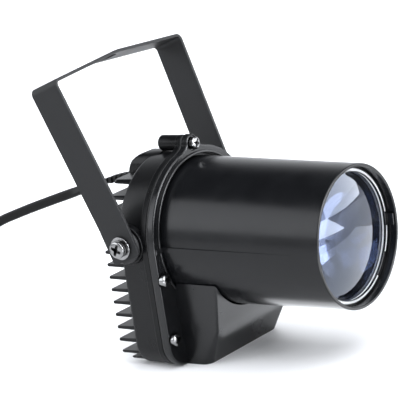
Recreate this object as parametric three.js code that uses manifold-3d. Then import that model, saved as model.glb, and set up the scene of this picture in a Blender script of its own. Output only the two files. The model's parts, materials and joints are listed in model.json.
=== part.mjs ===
// Pinspot light: a small spotlight with a finned rear housing, a long lens barrel, a driver compartment
// under the barrel and a hanging yoke. Millimetres, +Z up, standing on its flat base.
// The lens looks along -Y. Inside the lamp group x points to the lamp's right-hand side and y points forward,
// and the group is turned half round to face -Y.
import * as THREE from 'three';
import { mergeVertices } from 'three/addons/utils/BufferGeometryUtils.js';
import Module from 'manifold-3d';

const wasm = await Module();
wasm.setup();

// Clearances and overruns shared by every piece
const gap = 0.3; // between neighbouring pieces
const overrun = 1; // how far a cutting shape runs past what it cuts
const weld = 1e-4; // vertices nearer than this are one vertex

// Numbers of flat sides on round shapes
const roundSides = { barrel: 52, lens: 40, ring: 48, arch: 26, disc: 28, screw: 12, hole: 12, wire: 6 };

// Rear housing: one casting with side walls, rear wall, fins, screw posts and cord hood
const housing = {
  halfWidth: 46.2, // at the front edge of the drafted walls
  draft: 1.9, // narrowing of each side towards the rear
  wall: 2.4,
  seam: 13.6, // front edge, ahead of the pivot axis
  lipDepth: 3.6,
  lipRise: 1.1,
  rear: 8, // rear face, behind the pivot axis
  floor: 1, // inner face of the rear wall, behind the pivot axis
  cornerRadius: 14,
  rearCornerRadius: 13,
  cornerSides: 4,
};
const lip = housing.halfWidth + housing.lipRise;
const cavityHalf = housing.halfWidth - housing.wall;

// Main heights above the base
const archDrop = 21.8; // the round of the arch, made a full circle, would stop this far above the base
const barrelDrop = 4; // the barrel's axis lies this far below the pivot's axis
const axisHeight = housing.halfWidth + archDrop;
const pivotHeight = axisHeight + barrelDrop;

// Fins: flat level plates behind the housing
const fins = {
  count: 14,
  top: 34.6, // above the barrel's axis
  lowest: 8.1, // above the base
  tip: 19.5, // behind the pivot axis
  tipThickness: 1.7,
  tipSides: 4,
  rootThickness: 2.5,
  inset: 0.2,
};
const finTop = axisHeight + fins.top;
const finPitch = (finTop - fins.lowest) / (fins.count - 1);
const footFin = { height: 3.9, tip: 15 };

// Front cover: flange round the barrel, with the driver compartment below
const cover = {
  ledge: 1.4, // the flange reaches this far past the housing's walls
  thickness: 4,
  gasket: 0.8,
  holeGap: 1.5, // open ring between the flange and the barrel
  collarWidth: 1.6,
  collarRise: 1,
};
const coverBack = housing.seam + gap + cover.gasket + gap;
const coverFront = coverBack + cover.thickness;
const coverHalf = housing.halfWidth + cover.ledge;

// Cover screws and the posts that they thread into
const coverScrew = {
  headRadius: 3.5,
  headHeight: 2.6,
  shankRadius: 1.6,
  depth: 9,
  recess: 0.6,
  recessGap: 0.7,
};
const post = { radius: 4 };
const topScrew = { clear: 3.8 }; // above the top of the housing's walls
const topScrewRise = housing.halfWidth + topScrew.clear; // above the barrel's axis
const sideScrews = { upperInset: 2.2, upperDrop: 16.4, lowerInset: 3.2, lowerHeight: 17.1 };
const topPost = { radius: 4.5, back: 2.6, rounding: 1.4 };
const lobe = { radius: 5, footHalf: 12.5, footDrop: 4, shoulder: 1.2, lipInset: 0.4 };

// Driver compartment
const compartment = {
  bottomInset: 12.7, // inside the housing's walls, at the base
  creaseInset: 11.4,
  topInset: 10.5,
  bottomRadius: 5,
  edgeRadius: 1.2, // from the crease up
  cornerSides: 4,
  wall: 2.4,
  roof: 2.2,
  bottomFront: 33.5, // ahead of the pivot axis, at the base
  creaseFront: 43.9,
  creaseHeight: 20.5,
  topFront: 49.1,
  topDrop: 14.6, // below the barrel's axis
};
const compartmentTop = axisHeight - compartment.topDrop;

// Lens barrel: a long tube, held by a collar behind the cover
const barrel = {
  inset: 6.7, // outside of the front rim, inside the housing's walls
  taper: 1, // wider than that at the cover
  rise: 1.1, // of its axis at the cover, above the axis of the housing's arch
  droop: 1.3, // degrees that the tube leans down in front of the cover
  front: 121.5, // ahead of the pivot axis
  wall: 2.4,
  rimWall: 1.9, // round the lens
  lensSeat: 110, // shoulder that the lens sits on
  seatLedge: 2.4,
  seatDepth: 4,
  rimChamfer: 0.6,
  collarDepth: 3.2,
  proud: 0.8, // the lower half stands out this much at the cover
  proudEnd: 108, // and runs out here
  partingRise: 0.6, // top of the lower half, above the tube's axis
};
const collarFront = coverBack - gap;
const collarBack = collarFront - barrel.collarDepth;
const collarRadius = cavityHalf - 2 * gap;
const barrelRadius = housing.halfWidth - barrel.inset;
const barrelRoot = barrelRadius + barrel.taper;
const lensBore = barrelRadius - barrel.rimWall;
const seatInner = lensBore - barrel.seatLedge;
const barrelHeight = axisHeight + barrel.rise;
const partingHeight = barrelHeight + barrel.partingRise;
const coverHole = barrelRoot + cover.holeGap;
const saddle = barrelRoot + barrel.proud + gap; // inside of the compartment's roof, round the barrel
const bridge = { height: 2.9, gap: 0.35, inset: 0.4 };

// Lens, gasket and retaining ring in the barrel's mouth
const lens = { edge: 3.3, frontSag: 5.6, backSag: 5.6, steps: 5 };
const lensRadius = lensBore - gap;
const lensBack = barrel.lensSeat + gap;
const lensShoulder = lensBack + lens.edge;
const retainer = {
  width: 2.6,
  depth: 1.5,
  slotInset: 1.1,
  slotWidth: 1.7,
  tabHeight: 4.1,
  tabThickness: 1.1,
};
const retainerInner = lensBore - gap - retainer.width;
const slotRadius = retainerInner + retainer.slotInset;
const lensGasket = { base: 0.8, beadWidth: 1.1, beadRise: 1.2, beadInset: 1 }; // the inset is in degrees
const slotArcs = [[4.5, 158], [-30.6, -6], [-188, -52]]; // degrees from the left side, seen from behind
const tabArc = [-6.2, 4];
const arcStep = 7; // degrees

// Screw heads: across as shares of the head's radius, along as shares of its height
const screwShares = {
  edge: 0.3, // top of the head's upright edge
  shoulder: 0.86,
  shoulderHeight: 0.88,
  flat: 0.5,
  arm: 0.58, // reach of the cross recess
  slot: 0.12, // half the width of its slots
  floor: 0.4, // bottom of the recess
};

// Light engine on the rear wall
const ledBoard = { radius: 22, thickness: 1.6, screwInset: 5 };
const ledScrewOut = ledBoard.radius - ledBoard.screwInset;
const emitter = { size: 10, thickness: 1.4 };
const collimator = { backRadius: 6, frontRadius: 15, depth: 13.6 };
const holder = { wall: 1.8, lipDepth: 1.4 };
const baffle = { thickness: 1.4 };
const boardScrew = { headRadius: 2.6, headHeight: 1.6, shankRadius: 1.2, depth: 4 };

// Mains driver in the compartment
const driver = {
  inset: 6.5,
  back: 3,
  front: 31.5,
  height: 6,
  thickness: 1.6,
  postRadius: 3,
  screwInset: 5,
  screwY: 24,
};
const driverHalf = housing.halfWidth - compartment.bottomInset - driver.inset;
const driverScrewX = driverHalf - driver.screwInset;
const sideShares = { // places to the right of the middle plane, of the board's half width
  transformer: -0.074,
  inputCapacitor: 0.611,
  outputCapacitor: -0.63,
  choke: 0.796,
  fuse: -0.037,
  terminal: -0.741,
};
const transformer = { y: 19, widthShare: 0.63, length: 15, headroom: 3.2, core: 5 };
const inputCapacitor = { y: 16.5, radius: 5, height: 12.5 };
const outputCapacitor = { y: 14.5, radius: 4, height: 11.5 };
const choke = { y: 6.5, radius: 3.2, flange: 4, height: 8.5 };
const fuse = { y: 7, radius: 2.6, lengthShare: 0.555, lift: 1 };
const terminal = { y: 6.6, width: 10, length: 6, height: 8.5, hole: 1.5 };
const terminalX = sideShares.terminal * driverHalf;
const wire = { radius: 0.8, stepsPerPoint: 3 };

// Pivots: each a pan head screw, a washer, the yoke's arm, a friction washer and a threaded insert
const pad = { radius: 11.3, rise: 1.8, depth: 10, bossRadius: 7 };
const padFace = housing.halfWidth + pad.rise;
const padInner = padFace - pad.depth;
const friction = { radius: 9.8, thickness: 1.7 };
const washer = { radius: 6.5, thickness: 1.2 };
const pivotScrew = { headRadius: 4.8, headHeight: 3.4, shankRadius: 2.5, endInset: 1 };
const insert = { radius: 4, length: 7.6, flatGap: 0.4 };

// Yoke: a bent steel strap
const yoke = {
  width: 20,
  thickness: 1.8,
  armLength: 98.8, // pivot axis to the outer bend
  armSpread: 5.8, // each arm's outer bend is this much further out than its pivot
  straight: 14, // the arm is square to the pivot up to here
  tail: 7.6, // below the pivot
  tailRadius: 3.5,
  peak: 3.8, // the bar rises this much to its middle
  bendRadius: 4,
  bendSides: 4,
  hole: 6.5,
  tilt: THREE.MathUtils.degToRad(19.4), // leaning back
};
const armInner = padFace + gap + friction.thickness + gap;
const armOuter = armInner + yoke.thickness;

// Cord hood, strain relief and mains cord
const hood = { halfWidth: 9, back: 22.9, bottom: 25.2, height: 20.7, rounding: 13.4, sides: 6 };
const hoodBottom = axisHeight + hood.bottom;
const channel = { width: 7.8, height: 5, rise: 5.2 };
const channelHeight = hoodBottom + channel.rise;
const relief = {
  length: 21,
  drop: 2.7, // of the tip, below the channel's middle
  rings: 4,
  rootWidth: 9,
  rootHeight: 5.2,
  tipWidth: 6.8,
  tipHeight: 4,
};
const cord = {
  width: 5.8,
  thickness: 3.4,
  steps: 30,
  twistFrom: 52, // behind the pivot axis: it lies flat up to here
  twistTo: 82, // and stands on its edge from here on
};
const coil = {
  turns: 6.5,
  outer: 37,
  pitch: 4.4,
  layerGap: 0.6,
  stepsPerTurn: 24,
  soft: 0.1, // turns over which the spiral reverses
  climb: 0.5, // turns over which it climbs a layer
  leadIn: 6,
  leadOut: 24,
};
const tie = { thickness: 0.9, width: 8, side: 0.8, turnShare: 0.75 };
const plug = {
  length: 34,
  faceWidth: 26,
  rootWidth: 9,
  shoulder: 13.6,
  height: 10.4,
  nose: 4,
  pinRadius: 2,
  pinLength: 19,
  pinSpacing: 18.6,
};

// Route of the cord's free stretch behind the lamp: right, forward, up
const cordRoute = [
  [0, -44.9, 95.6], [0, -50, 94.2], [0, -60, 91.4], [0, -72, 88], [0.1, -84, 84.6], [0.1, -97, 80.8],
  [0.2, -110, 76.9], [0.3, -122.5, 72.9], [0.5, -133, 69.3], [0.7, -144, 64.2], [0.9, -154, 57.2],
  [1.2, -163, 48.2], [1.5, -171.5, 38], [1.8, -180, 27.6], [2.1, -189, 18], [2.4, -198.5, 10.6],
  [2.7, -208.5, 6], [2.9, -217.5, 4.3], [3, -225.7, 4.1],
];
const coilCentre = { x: 40, y: -232 };

// Corners of a flat oval section, as shares of its half width and half thickness
const ovalShares = [
  [1, 0.5], [0.55, 1], [-0.55, 1], [-1, 0.5], [-1, -0.5], [-0.55, -1], [0.55, -1], [1, -0.5],
];
// The same on the wound cord, as shares of its half thickness and half width
const coilShares = [[0, 1], [1, 0.5], [1, -0.5], [0, -1], [-1, -0.5], [-1, 0.5]];

// Solids

// A closed three.js geometry as a solid
function solidOf(geometry) {
  geometry.deleteAttribute('normal');
  geometry.deleteAttribute('uv');
  const merged = mergeVertices(geometry, weld);
  const corners = merged.index.array;
  const kept = [];
  for (let i = 0; i < corners.length; i += 3) {
    const [a, b, c] = [corners[i], corners[i + 1], corners[i + 2]];
    if (a !== b && b !== c && c !== a) kept.push(a, b, c);
  }
  const triVerts = new Uint32Array(kept);
  const vertProperties = new Float32Array(merged.attributes.position.array);
  if (volumeOf(vertProperties, triVerts) < 0) triVerts.reverse();
  return new wasm.Manifold(new wasm.Mesh({ numProp: 3, vertProperties, triVerts }));
}

// Six times the signed volume of a triangle mesh
function volumeOf(points, triangles) {
  const [a, b, c] = [new THREE.Vector3(), new THREE.Vector3(), new THREE.Vector3()];
  let sum = 0;
  for (let i = 0; i < triangles.length; i += 3) {
    a.fromArray(points, 3 * triangles[i]);
    b.fromArray(points, 3 * triangles[i + 1]);
    c.fromArray(points, 3 * triangles[i + 2]);
    sum += a.dot(b.cross(c));
  }
  return sum;
}

// A solid as a three.js geometry
function geometryOf(solid) {
  const mesh = solid.getMesh();
  const geometry = new THREE.BufferGeometry();
  geometry.setAttribute('position', new THREE.BufferAttribute(new Float32Array(mesh.vertProperties), 3));
  geometry.setIndex(new THREE.BufferAttribute(new Uint32Array(mesh.triVerts), 1));
  geometry.computeVertexNormals();
  return geometry;
}

// A solid between two opposite corners
function box(x0, x1, y0, y1, z0, z1) {
  const geometry = new THREE.BoxGeometry(x1 - x0, y1 - y0, z1 - z0);
  geometry.translate((x0 + x1) / 2, (y0 + y1) / 2, (z0 + z1) / 2);
  return solidOf(geometry);
}

function extruded(outline, depth) {
  const shape = outline instanceof THREE.Shape ? outline : new THREE.Shape(outline);
  return new THREE.ExtrudeGeometry(shape, { depth, bevelEnabled: false, curveSegments: roundSides.arch });
}

// An outline in x and z, drawn out along y
function alongY(outline, y0, y1) {
  const geometry = extruded(outline, y1 - y0);
  geometry.rotateX(Math.PI / 2);
  geometry.translate(0, y1, 0);
  return solidOf(geometry);
}

// An outline in y and z, drawn out along x
function alongX(outline, x0, x1) {
  const geometry = extruded(outline, x1 - x0);
  const axes = [new THREE.Vector3(0, 1, 0), new THREE.Vector3(0, 0, 1), new THREE.Vector3(1, 0, 0)];
  geometry.applyMatrix4(new THREE.Matrix4().makeBasis(...axes));
  geometry.translate(x0, 0, 0);
  return solidOf(geometry);
}

// An outline in x and y, drawn up along z
function alongZ(outline, z0, z1) {
  const geometry = extruded(outline, z1 - z0);
  geometry.translate(0, 0, z0);
  return solidOf(geometry);
}

// A profile of [radius, forward] points turned about an axis along y, at a side and height
function turned(profile, sides, x, z) {
  const points = profile.map(([r, y]) => new THREE.Vector2(r, y));
  const geometry = new THREE.LatheGeometry(points, sides);
  geometry.translate(x, 0, z);
  return solidOf(geometry);
}

// A cylinder along y
function rodY(radius, y0, y1, x, z, sides = roundSides.hole) {
  return turned([[0, y0], [radius, y0], [radius, y1], [0, y1]], sides, x, z);
}

// A cylinder along x
function rodX(radius, x0, x1, y, z, sides = roundSides.hole) {
  const geometry = new THREE.CylinderGeometry(radius, radius, x1 - x0, sides);
  geometry.rotateZ(Math.PI / 2);
  geometry.translate((x0 + x1) / 2, y, z);
  return solidOf(geometry);
}

// A cylinder along z
function rodZ(radius, z0, z1, x, y, sides = roundSides.hole) {
  const geometry = new THREE.CylinderGeometry(radius, radius, z1 - z0, sides);
  geometry.rotateX(Math.PI / 2);
  geometry.translate(x, y, (z0 + z1) / 2);
  return solidOf(geometry);
}

function joined(solids) {
  return solids.reduce((whole, piece) => whole.add(piece));
}

// A solid through rings of points, each ring with the same number of points
function loft(rings) {
  const count = rings[0].length;
  const positions = rings.flat().flatMap((p) => [p.x, p.y, p.z]);
  const index = [];
  for (let r = 0; r + 1 < rings.length; r += 1) {
    for (let i = 0; i < count; i += 1) {
      const [a, b] = [r * count + i, r * count + ((i + 1) % count)];
      index.push(a, b, a + count, b, b + count, a + count);
    }
  }
  for (let i = 1; i + 1 < count; i += 1) {
    const last = (rings.length - 1) * count;
    index.push(0, i + 1, i, last, last + i, last + i + 1);
  }
  const geometry = new THREE.BufferGeometry();
  geometry.setAttribute('position', new THREE.Float32BufferAttribute(positions, 3));
  geometry.setIndex(index);
  return solidOf(geometry);
}

// A solid mirrored to the other side of the middle plane
function mirrored(solid) {
  return solid.mirror([1, 0, 0]);
}

// Points of an arc, from one angle to another in degrees, both ends included
function arc(x, y, radius, from, to, sides) {
  return Array.from({ length: sides + 1 }, (unused, i) => {
    const angle = THREE.MathUtils.degToRad(from + ((to - from) * i) / sides);
    return new THREE.Vector2(x + radius * Math.cos(angle), y + radius * Math.sin(angle));
  });
}

// The housing's outline in x and z: a flat base with round corners, straight sides and an arch about the
// barrel's axis
function archOutline(halfWidth, inset = 0, cornerRadius = housing.cornerRadius) {
  const corner = cornerRadius - inset;
  const foot = halfWidth - corner;
  return [
    ...arc(-foot, inset + corner, corner, 180, 270, housing.cornerSides),
    ...arc(foot, inset + corner, corner, 270, 360, housing.cornerSides),
    ...arc(0, axisHeight, halfWidth, 0, 180, roundSides.arch),
  ];
}

function ringAt(outline, forward) {
  return outline.map((p) => new THREE.Vector3(p.x, forward(p.y), p.y));
}

// Half width of the drafted housing at a place ahead of the pivot axis
function housingHalf(forward) {
  const share = (housing.seam - forward) / (housing.seam + housing.rear);
  return housing.halfWidth - housing.draft * share;
}

// The lobe over the arch that carries the top screw
function lobeOutline(inset, archRadius) {
  const [radius, top] = [lobe.radius - inset, axisHeight + topScrewRise];
  const foot = lobe.footHalf - inset;
  const footHeight = axisHeight + Math.sqrt(archRadius ** 2 - foot ** 2) - inset;
  const shape = new THREE.Shape();
  shape.moveTo(-foot, footHeight - lobe.footDrop);
  shape.lineTo(foot, footHeight - lobe.footDrop);
  shape.lineTo(foot, footHeight);
  shape.quadraticCurveTo(radius + lobe.shoulder, top - lobe.footDrop + lobe.shoulder, radius, top);
  shape.absarc(0, top, radius, 0, Math.PI, false);
  shape.quadraticCurveTo(-radius - lobe.shoulder, top - lobe.footDrop + lobe.shoulder, -foot, footHeight);
  return shape.getPoints(roundSides.arch / 4);
}

const screwPlaces = [{ name: 'top', x: 0, z: axisHeight + topScrewRise }];
for (const [name, side] of [['right', 1], ['left', -1]]) {
  const { upperInset, upperDrop, lowerInset, lowerHeight } = sideScrews;
  const [upperX, lowerX] = [housing.halfWidth - upperInset, housing.halfWidth - lowerInset];
  screwPlaces.push({ name: `${name}_upper`, x: side * upperX, z: axisHeight - upperDrop });
  screwPlaces.push({ name: `${name}_lower`, x: side * lowerX, z: lowerHeight });
}

// Materials
const finishes = {
  casting: { color: 0x1d1e20, roughness: 0.5, metalness: 0.3 },
  plastic: { color: 0x232426, roughness: 0.38, metalness: 0 },
  barrel: { color: 0x1b1c1e, roughness: 0.3, metalness: 0.2 },
  strap: { color: 0x2f3032, roughness: 0.6, metalness: 0.4 },
  nickel: { color: 0xc9cacc, roughness: 0.25, metalness: 1 },
  brass: { color: 0xb99a4b, roughness: 0.35, metalness: 1 },
  rubber: { color: 0x17181a, roughness: 0.8, metalness: 0 },
  silicone: { color: 0xf2f3f5, roughness: 0.4, metalness: 0 },
  glass: { color: 0xa9b2d6, roughness: 0.03, metalness: 0, transparent: true, opacity: 0.45 },
  acrylic: { color: 0xdfe8ee, roughness: 0.05, metalness: 0, transparent: true, opacity: 0.6 },
  board: { color: 0xe6e8ea, roughness: 0.5, metalness: 0 },
  circuit: { color: 0x1f5a37, roughness: 0.5, metalness: 0 },
  phosphor: { color: 0xe9d27a, roughness: 0.5, metalness: 0 },
  copper: { color: 0xb8703c, roughness: 0.4, metalness: 1 },
  ferrite: { color: 0x3a3b3d, roughness: 0.7, metalness: 0 },
  sleeve: { color: 0x20304a, roughness: 0.4, metalness: 0 },
  terminal: { color: 0x3f8f5a, roughness: 0.5, metalness: 0 },
  redWire: { color: 0xb3201e, roughness: 0.5, metalness: 0 },
  blackWire: { color: 0x141414, roughness: 0.5, metalness: 0 },
  cordSheath: { color: 0x161718, roughness: 0.55, metalness: 0 },
};

const lamp = new THREE.Group();
lamp.rotation.z = Math.PI;

function place(name, solid, finish, parent = lamp) {
  const mesh = new THREE.Mesh(geometryOf(solid), new THREE.MeshStandardMaterial(finishes[finish]));
  mesh.name = name;
  parent.add(mesh);
  return mesh;
}

// Rear housing
function finPlate(height, tip) {
  const [half, root] = [fins.tipThickness / 2, fins.rootThickness / 2];
  const nose = arc(-tip + half, height, half, 90, 270, fins.tipSides);
  const rootY = -housing.floor - housing.wall;
  const foot = [new THREE.Vector2(rootY, height - root), new THREE.Vector2(rootY, height + root)];
  return alongX([...nose, ...foot], -housing.halfWidth, housing.halfWidth);
}

function finBlock() {
  const plates = Array.from({ length: fins.count }, (unused, i) => finPlate(finTop - finPitch * i, fins.tip));
  plates.push(finPlate(footFin.height, footFin.tip));
  const half = housingHalf(-housing.rear) - fins.inset;
  const outline = archOutline(half, 0, housing.rearCornerRadius);
  const envelope = alongY(outline, -fins.tip - overrun, -housing.floor);
  return joined(plates).intersect(envelope);
}

function hoodBlock() {
  const { back, height, rounding, sides } = hood;
  const top = hoodBottom + height;
  const outline = [
    new THREE.Vector2(-housing.floor, hoodBottom),
    new THREE.Vector2(-housing.floor, top),
    ...arc(-back + rounding, top - rounding, rounding, 90, 180, sides),
    new THREE.Vector2(-back, hoodBottom),
  ];
  return alongX(outline, -hood.halfWidth, hood.halfWidth);
}

function rearHousing() {
  const frontHalf = housingHalf(housing.seam);
  const rearHalf = housingHalf(-housing.rear);
  const shell = loft([
    ringAt(archOutline(rearHalf, 0, housing.rearCornerRadius), () => -housing.rear),
    ringAt(archOutline(frontHalf), () => housing.seam),
  ]);
  const rim = alongY(archOutline(lip), housing.seam - housing.lipDepth, housing.seam);
  const rimLobe = alongY(lobeOutline(lobe.lipInset, lip), housing.seam - housing.lipDepth, housing.seam);
  const topZ = axisHeight + topScrewRise;
  const topRod = turned([
    [0, -topPost.back],
    [topPost.radius - topPost.rounding, -topPost.back],
    [topPost.radius, -topPost.back + topPost.rounding],
    [topPost.radius, housing.seam],
    [0, housing.seam],
  ], roundSides.disc, 0, topZ);
  const bosses = [1, -1].map((side) => rodX(pad.radius, ...span(side, frontHalf - housing.wall, padFace), 0,
    pivotHeight, roundSides.disc));
  const outside = joined([shell, rim, rimLobe, topRod, finBlock(), hoodBlock(), ...bosses]);
  const cavityFloor = -housing.floor;
  const cavity = loft([
    ringAt(archOutline(housingHalf(cavityFloor) - housing.wall, housing.wall), () => cavityFloor),
    ringAt(archOutline(frontHalf - housing.wall, housing.wall), () => housing.seam + overrun),
  ]);
  const envelope = alongY(archOutline(frontHalf), cavityFloor - overrun, housing.seam);
  const posts = screwPlaces.slice(1).map(({ x, z }) => {
    return rodY(post.radius, cavityFloor - overrun, housing.seam, x, z);
  });
  const sockets = [1, -1].map((side) => rodX(pad.bossRadius, ...span(side, padInner, frontHalf), 0,
    pivotHeight, roundSides.disc));
  const body = outside.subtract(cavity).add(joined([...posts, ...sockets]).intersect(envelope));
  const hole = coverScrew.shankRadius + gap;
  const threads = screwPlaces.map(({ x, z }) => {
    return rodY(hole, coverFront - cover.thickness - coverScrew.depth - gap, housing.seam + overrun, x, z);
  });
  const bores = [1, -1].map((side) => rodX(insert.radius + gap, ...span(side, padInner - overrun,
    padFace + overrun), 0, pivotHeight));
  const ledThreads = [1, -1].map((side) => {
    const depth = -housing.floor - boardScrew.depth - gap;
    return rodY(boardScrew.shankRadius + gap, depth, overrun, side * ledScrewOut, axisHeight);
  });
  const [half, height] = [channel.width / 2, channel.height / 2];
  const way = box(-half, half, -hood.back - overrun, overrun, channelHeight - height, channelHeight + height);
  return body.subtract(joined([...threads, ...bores, ...ledThreads, way]));
}

// The two ends of a stretch on one side of the middle plane, lowest first
function span(side, inner, outer) {
  return side > 0 ? [inner, outer] : [-outer, -inner];
}

// Cover gasket: a thin ring on the housing's edge, with ears round the screws
function coverGasket() {
  const [back, front] = [housing.seam + gap, housing.seam + gap + cover.gasket];
  const edge = housingHalf(housing.seam);
  const ring = alongY(archOutline(edge), back, front);
  const inside = alongY(archOutline(edge - housing.wall, housing.wall), back - overrun, front + overrun);
  const ears = screwPlaces.map(({ x, z }) => rodY(post.radius - gap, back, front, x, z));
  const topEar = alongY(lobeOutline(lobe.lipInset + gap, edge), back, front);
  const shape = joined([joined([ring, topEar]).subtract(inside), joined(ears).intersect(ring)]);
  const holes = screwPlaces.map(({ x, z }) => {
    return rodY(coverScrew.shankRadius + gap, back - overrun, front + overrun, x, z);
  });
  const clear = rodY(collarRadius + gap, back - overrun, front + overrun, 0, axisHeight, roundSides.barrel);
  return shape.subtract(joined(holes)).subtract(clear.intersect(inside));
}

// Half width, front and corner radius of the driver compartment at its base, its crease and its top
function compartmentLevels() {
  const { halfWidth } = housing;
  const { bottomInset, creaseInset, topInset, bottomFront, creaseFront, topFront } = compartment;
  const { bottomRadius, edgeRadius, creaseHeight } = compartment;
  return [
    { half: halfWidth - bottomInset, front: bottomFront, radius: bottomRadius, height: 0 },
    { half: halfWidth - creaseInset, front: creaseFront, radius: edgeRadius, height: creaseHeight },
    { half: halfWidth - topInset, front: topFront, radius: edgeRadius, height: compartmentTop },
  ];
}

// The compartment's block drawn in by an inset, from a back plane forward and from a floor up
function compartmentBlock(inset, back, floor) {
  return loft(compartmentLevels().map((level) => {
    const [half, front] = [level.half - inset, level.front - inset];
    const corner = Math.max(level.radius - inset, gap);
    const plan = [
      new THREE.Vector2(half, back),
      ...arc(half - corner, front - corner, corner, 0, 90, compartment.cornerSides),
      ...arc(-half + corner, front - corner, corner, 90, 180, compartment.cornerSides),
      new THREE.Vector2(-half, back),
    ];
    return plan.map((p) => new THREE.Vector3(p.x, p.y, Math.max(level.height, floor)));
  }));
}

// Front cover: flange, lobe and collar round the barrel, compartment below
function frontCover() {
  const flange = alongY(archOutline(coverHalf), coverBack, coverFront);
  const ear = alongY(lobeOutline(0, coverHalf), coverBack, coverFront);
  const front = coverFront + cover.collarRise;
  const collar = rodY(coverHole + cover.collarWidth, coverBack, front, 0, barrelHeight, roundSides.barrel);
  const chamber = compartmentBlock(0, coverBack, 0);
  const outside = joined([flange, ear, collar, chamber]);
  const tubeEnd = compartment.topFront + 2 * overrun;
  const tubeWay = rodY(coverHole, coverBack - overrun, front, 0, barrelHeight, roundSides.barrel)
    .add(leant(rodY(saddle, coverFront, tubeEnd, 0, barrelHeight, roundSides.barrel)));
  const roof = leant(rodY(saddle + compartment.roof, coverBack - 2 * overrun, tubeEnd, 0, barrelHeight,
    roundSides.barrel));
  const pocket = compartmentBlock(compartment.wall, coverBack - overrun, compartment.wall).subtract(roof);
  const seat = coverFront - coverScrew.recess;
  const holes = screwPlaces.flatMap(({ x, z }) => [
    rodY(coverScrew.shankRadius + gap, coverBack - overrun, coverFront + overrun, x, z),
    rodY(coverScrew.headRadius + coverScrew.recessGap, seat, coverFront + overrun, x, z),
  ]);
  const bridges = [1, -1].map((side) => {
    const reach = span(side, barrelRoot + barrel.proud + bridge.gap, coverHalf - bridge.inset);
    return box(...reach, coverBack, front, partingHeight - bridge.height, partingHeight);
  });
  const standoffs = [1, -1].map((side) => {
    const x = side * driverScrewX;
    return rodZ(driver.postRadius, compartment.wall / 2, driver.height - gap, x, driver.screwY);
  });
  const threads = [1, -1].map((side) => {
    const x = side * driverScrewX;
    return rodZ(boardScrew.shankRadius + gap, compartment.wall, driver.height, x, driver.screwY);
  });
  const body = outside.subtract(joined([tubeWay, ...holes])).subtract(pocket);
  return body.add(joined([...bridges, ...standoffs])).subtract(joined(threads));
}

// A piece of the tube, made level, turned to lean down about the middle of the cover's hole
function leant(solid) {
  return solid
    .translate([0, -coverFront, -barrelHeight])
    .rotate([-barrel.droop, 0, 0])
    .translate([0, coverFront, barrelHeight]);
}

// Lens barrel: a collar behind the cover, in line with the housing, and the leaning tube
function lensBarrel() {
  const { front, rimChamfer, proud, proudEnd, wall } = barrel;
  const collar = rodY(collarRadius, collarBack, collarFront, 0, axisHeight, roundSides.barrel);
  const clear = screwPlaces.slice(1).map(({ x, z }) => {
    return rodY(post.radius + gap, collarBack - overrun, collarFront + overrun, x, z);
  });
  const root = collarFront - barrel.collarDepth / 2;
  const upper = turned([
    [0, root],
    [barrelRoot, root],
    [barrelRadius, front - rimChamfer],
    [barrelRadius - rimChamfer, front],
    [0, front],
  ], roundSides.barrel, 0, barrelHeight);
  const endRadius = barrelRadius + (barrel.taper * (front - proudEnd)) / (front - root);
  const lower = turned([
    [0, root],
    [barrelRoot + proud, root],
    [endRadius, proudEnd],
    [0, proudEnd],
  ], roundSides.barrel, 0, barrelHeight);
  const bottom = barrelHeight - collarRadius;
  const below = box(-collarRadius, collarRadius, collarBack, front, bottom, partingHeight);
  const bore = turned([
    [0, collarBack - 2 * overrun],
    [barrelRadius - wall, collarBack - 2 * overrun],
    [barrelRadius - wall, barrel.lensSeat - barrel.seatDepth],
    [seatInner, barrel.lensSeat - barrel.seatDepth],
    [seatInner, barrel.lensSeat],
    [lensBore, barrel.lensSeat],
    [lensBore, front + overrun],
    [0, front + overrun],
  ], roundSides.barrel, 0, barrelHeight);
  const tube = upper.add(lower.intersect(below));
  return collar.subtract(joined(clear)).add(leant(tube)).subtract(leant(bore));
}

// Radii and forward places of a dome from its edge to its middle
function dome(edgeRadius, edgeY, sag, steps) {
  const sphere = (edgeRadius ** 2 + sag ** 2) / (2 * Math.abs(sag));
  return Array.from({ length: steps + 1 }, (unused, i) => {
    const r = edgeRadius * (1 - i / steps);
    const rise = Math.sqrt(sphere ** 2 - r ** 2) - Math.sqrt(sphere ** 2 - edgeRadius ** 2);
    return [r, edgeY + Math.sign(sag) * rise];
  });
}

function mainLens() {
  const inner = seatInner - gap;
  const back = dome(inner, lensBack, -lens.backSag, lens.steps).reverse();
  const front = dome(retainerInner, lensShoulder, lens.frontSag, lens.steps);
  return turned([...back, [lensRadius, lensBack], [lensRadius, lensShoulder], ...front], roundSides.lens, 0,
    barrelHeight);
}

// A part of a ring about the tube's axis, between two angles in degrees
function arcBlock(inner, outer, from, to, y0, y1) {
  const sides = Math.ceil((to - from) / arcStep);
  const outside = arc(0, barrelHeight, outer, from, to, sides);
  const inside = arc(0, barrelHeight, inner, to, from, sides);
  const points = [...outside, ...inside].map((p) => new THREE.Vector2(-p.x, p.y));
  return alongY(points, y0, y1);
}

const gasketBack = lensShoulder + gap;
const retainerBack = gasketBack + lensGasket.base + gap;
const retainerFront = retainerBack + retainer.depth;

function ringAround(inner, outer, y0, y1, z, sides = roundSides.ring) {
  return turned([[inner, y0], [outer, y0], [outer, y1], [inner, y1], [inner, y0]], sides, 0, z);
}

function lensGasketRing() {
  const baseFront = gasketBack + lensGasket.base;
  const base = ringAround(retainerInner + gap, lensBore - gap, gasketBack, baseFront, barrelHeight);
  const { beadWidth, beadInset, beadRise } = lensGasket;
  const [inner, outer] = [slotRadius - beadWidth / 2, slotRadius + beadWidth / 2];
  const front = baseFront + gap + beadRise;
  const beads = slotArcs.map(([from, to]) => {
    return arcBlock(inner, outer, from + beadInset, to - beadInset, gasketBack, front);
  });
  return joined([base, ...beads]);
}

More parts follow.
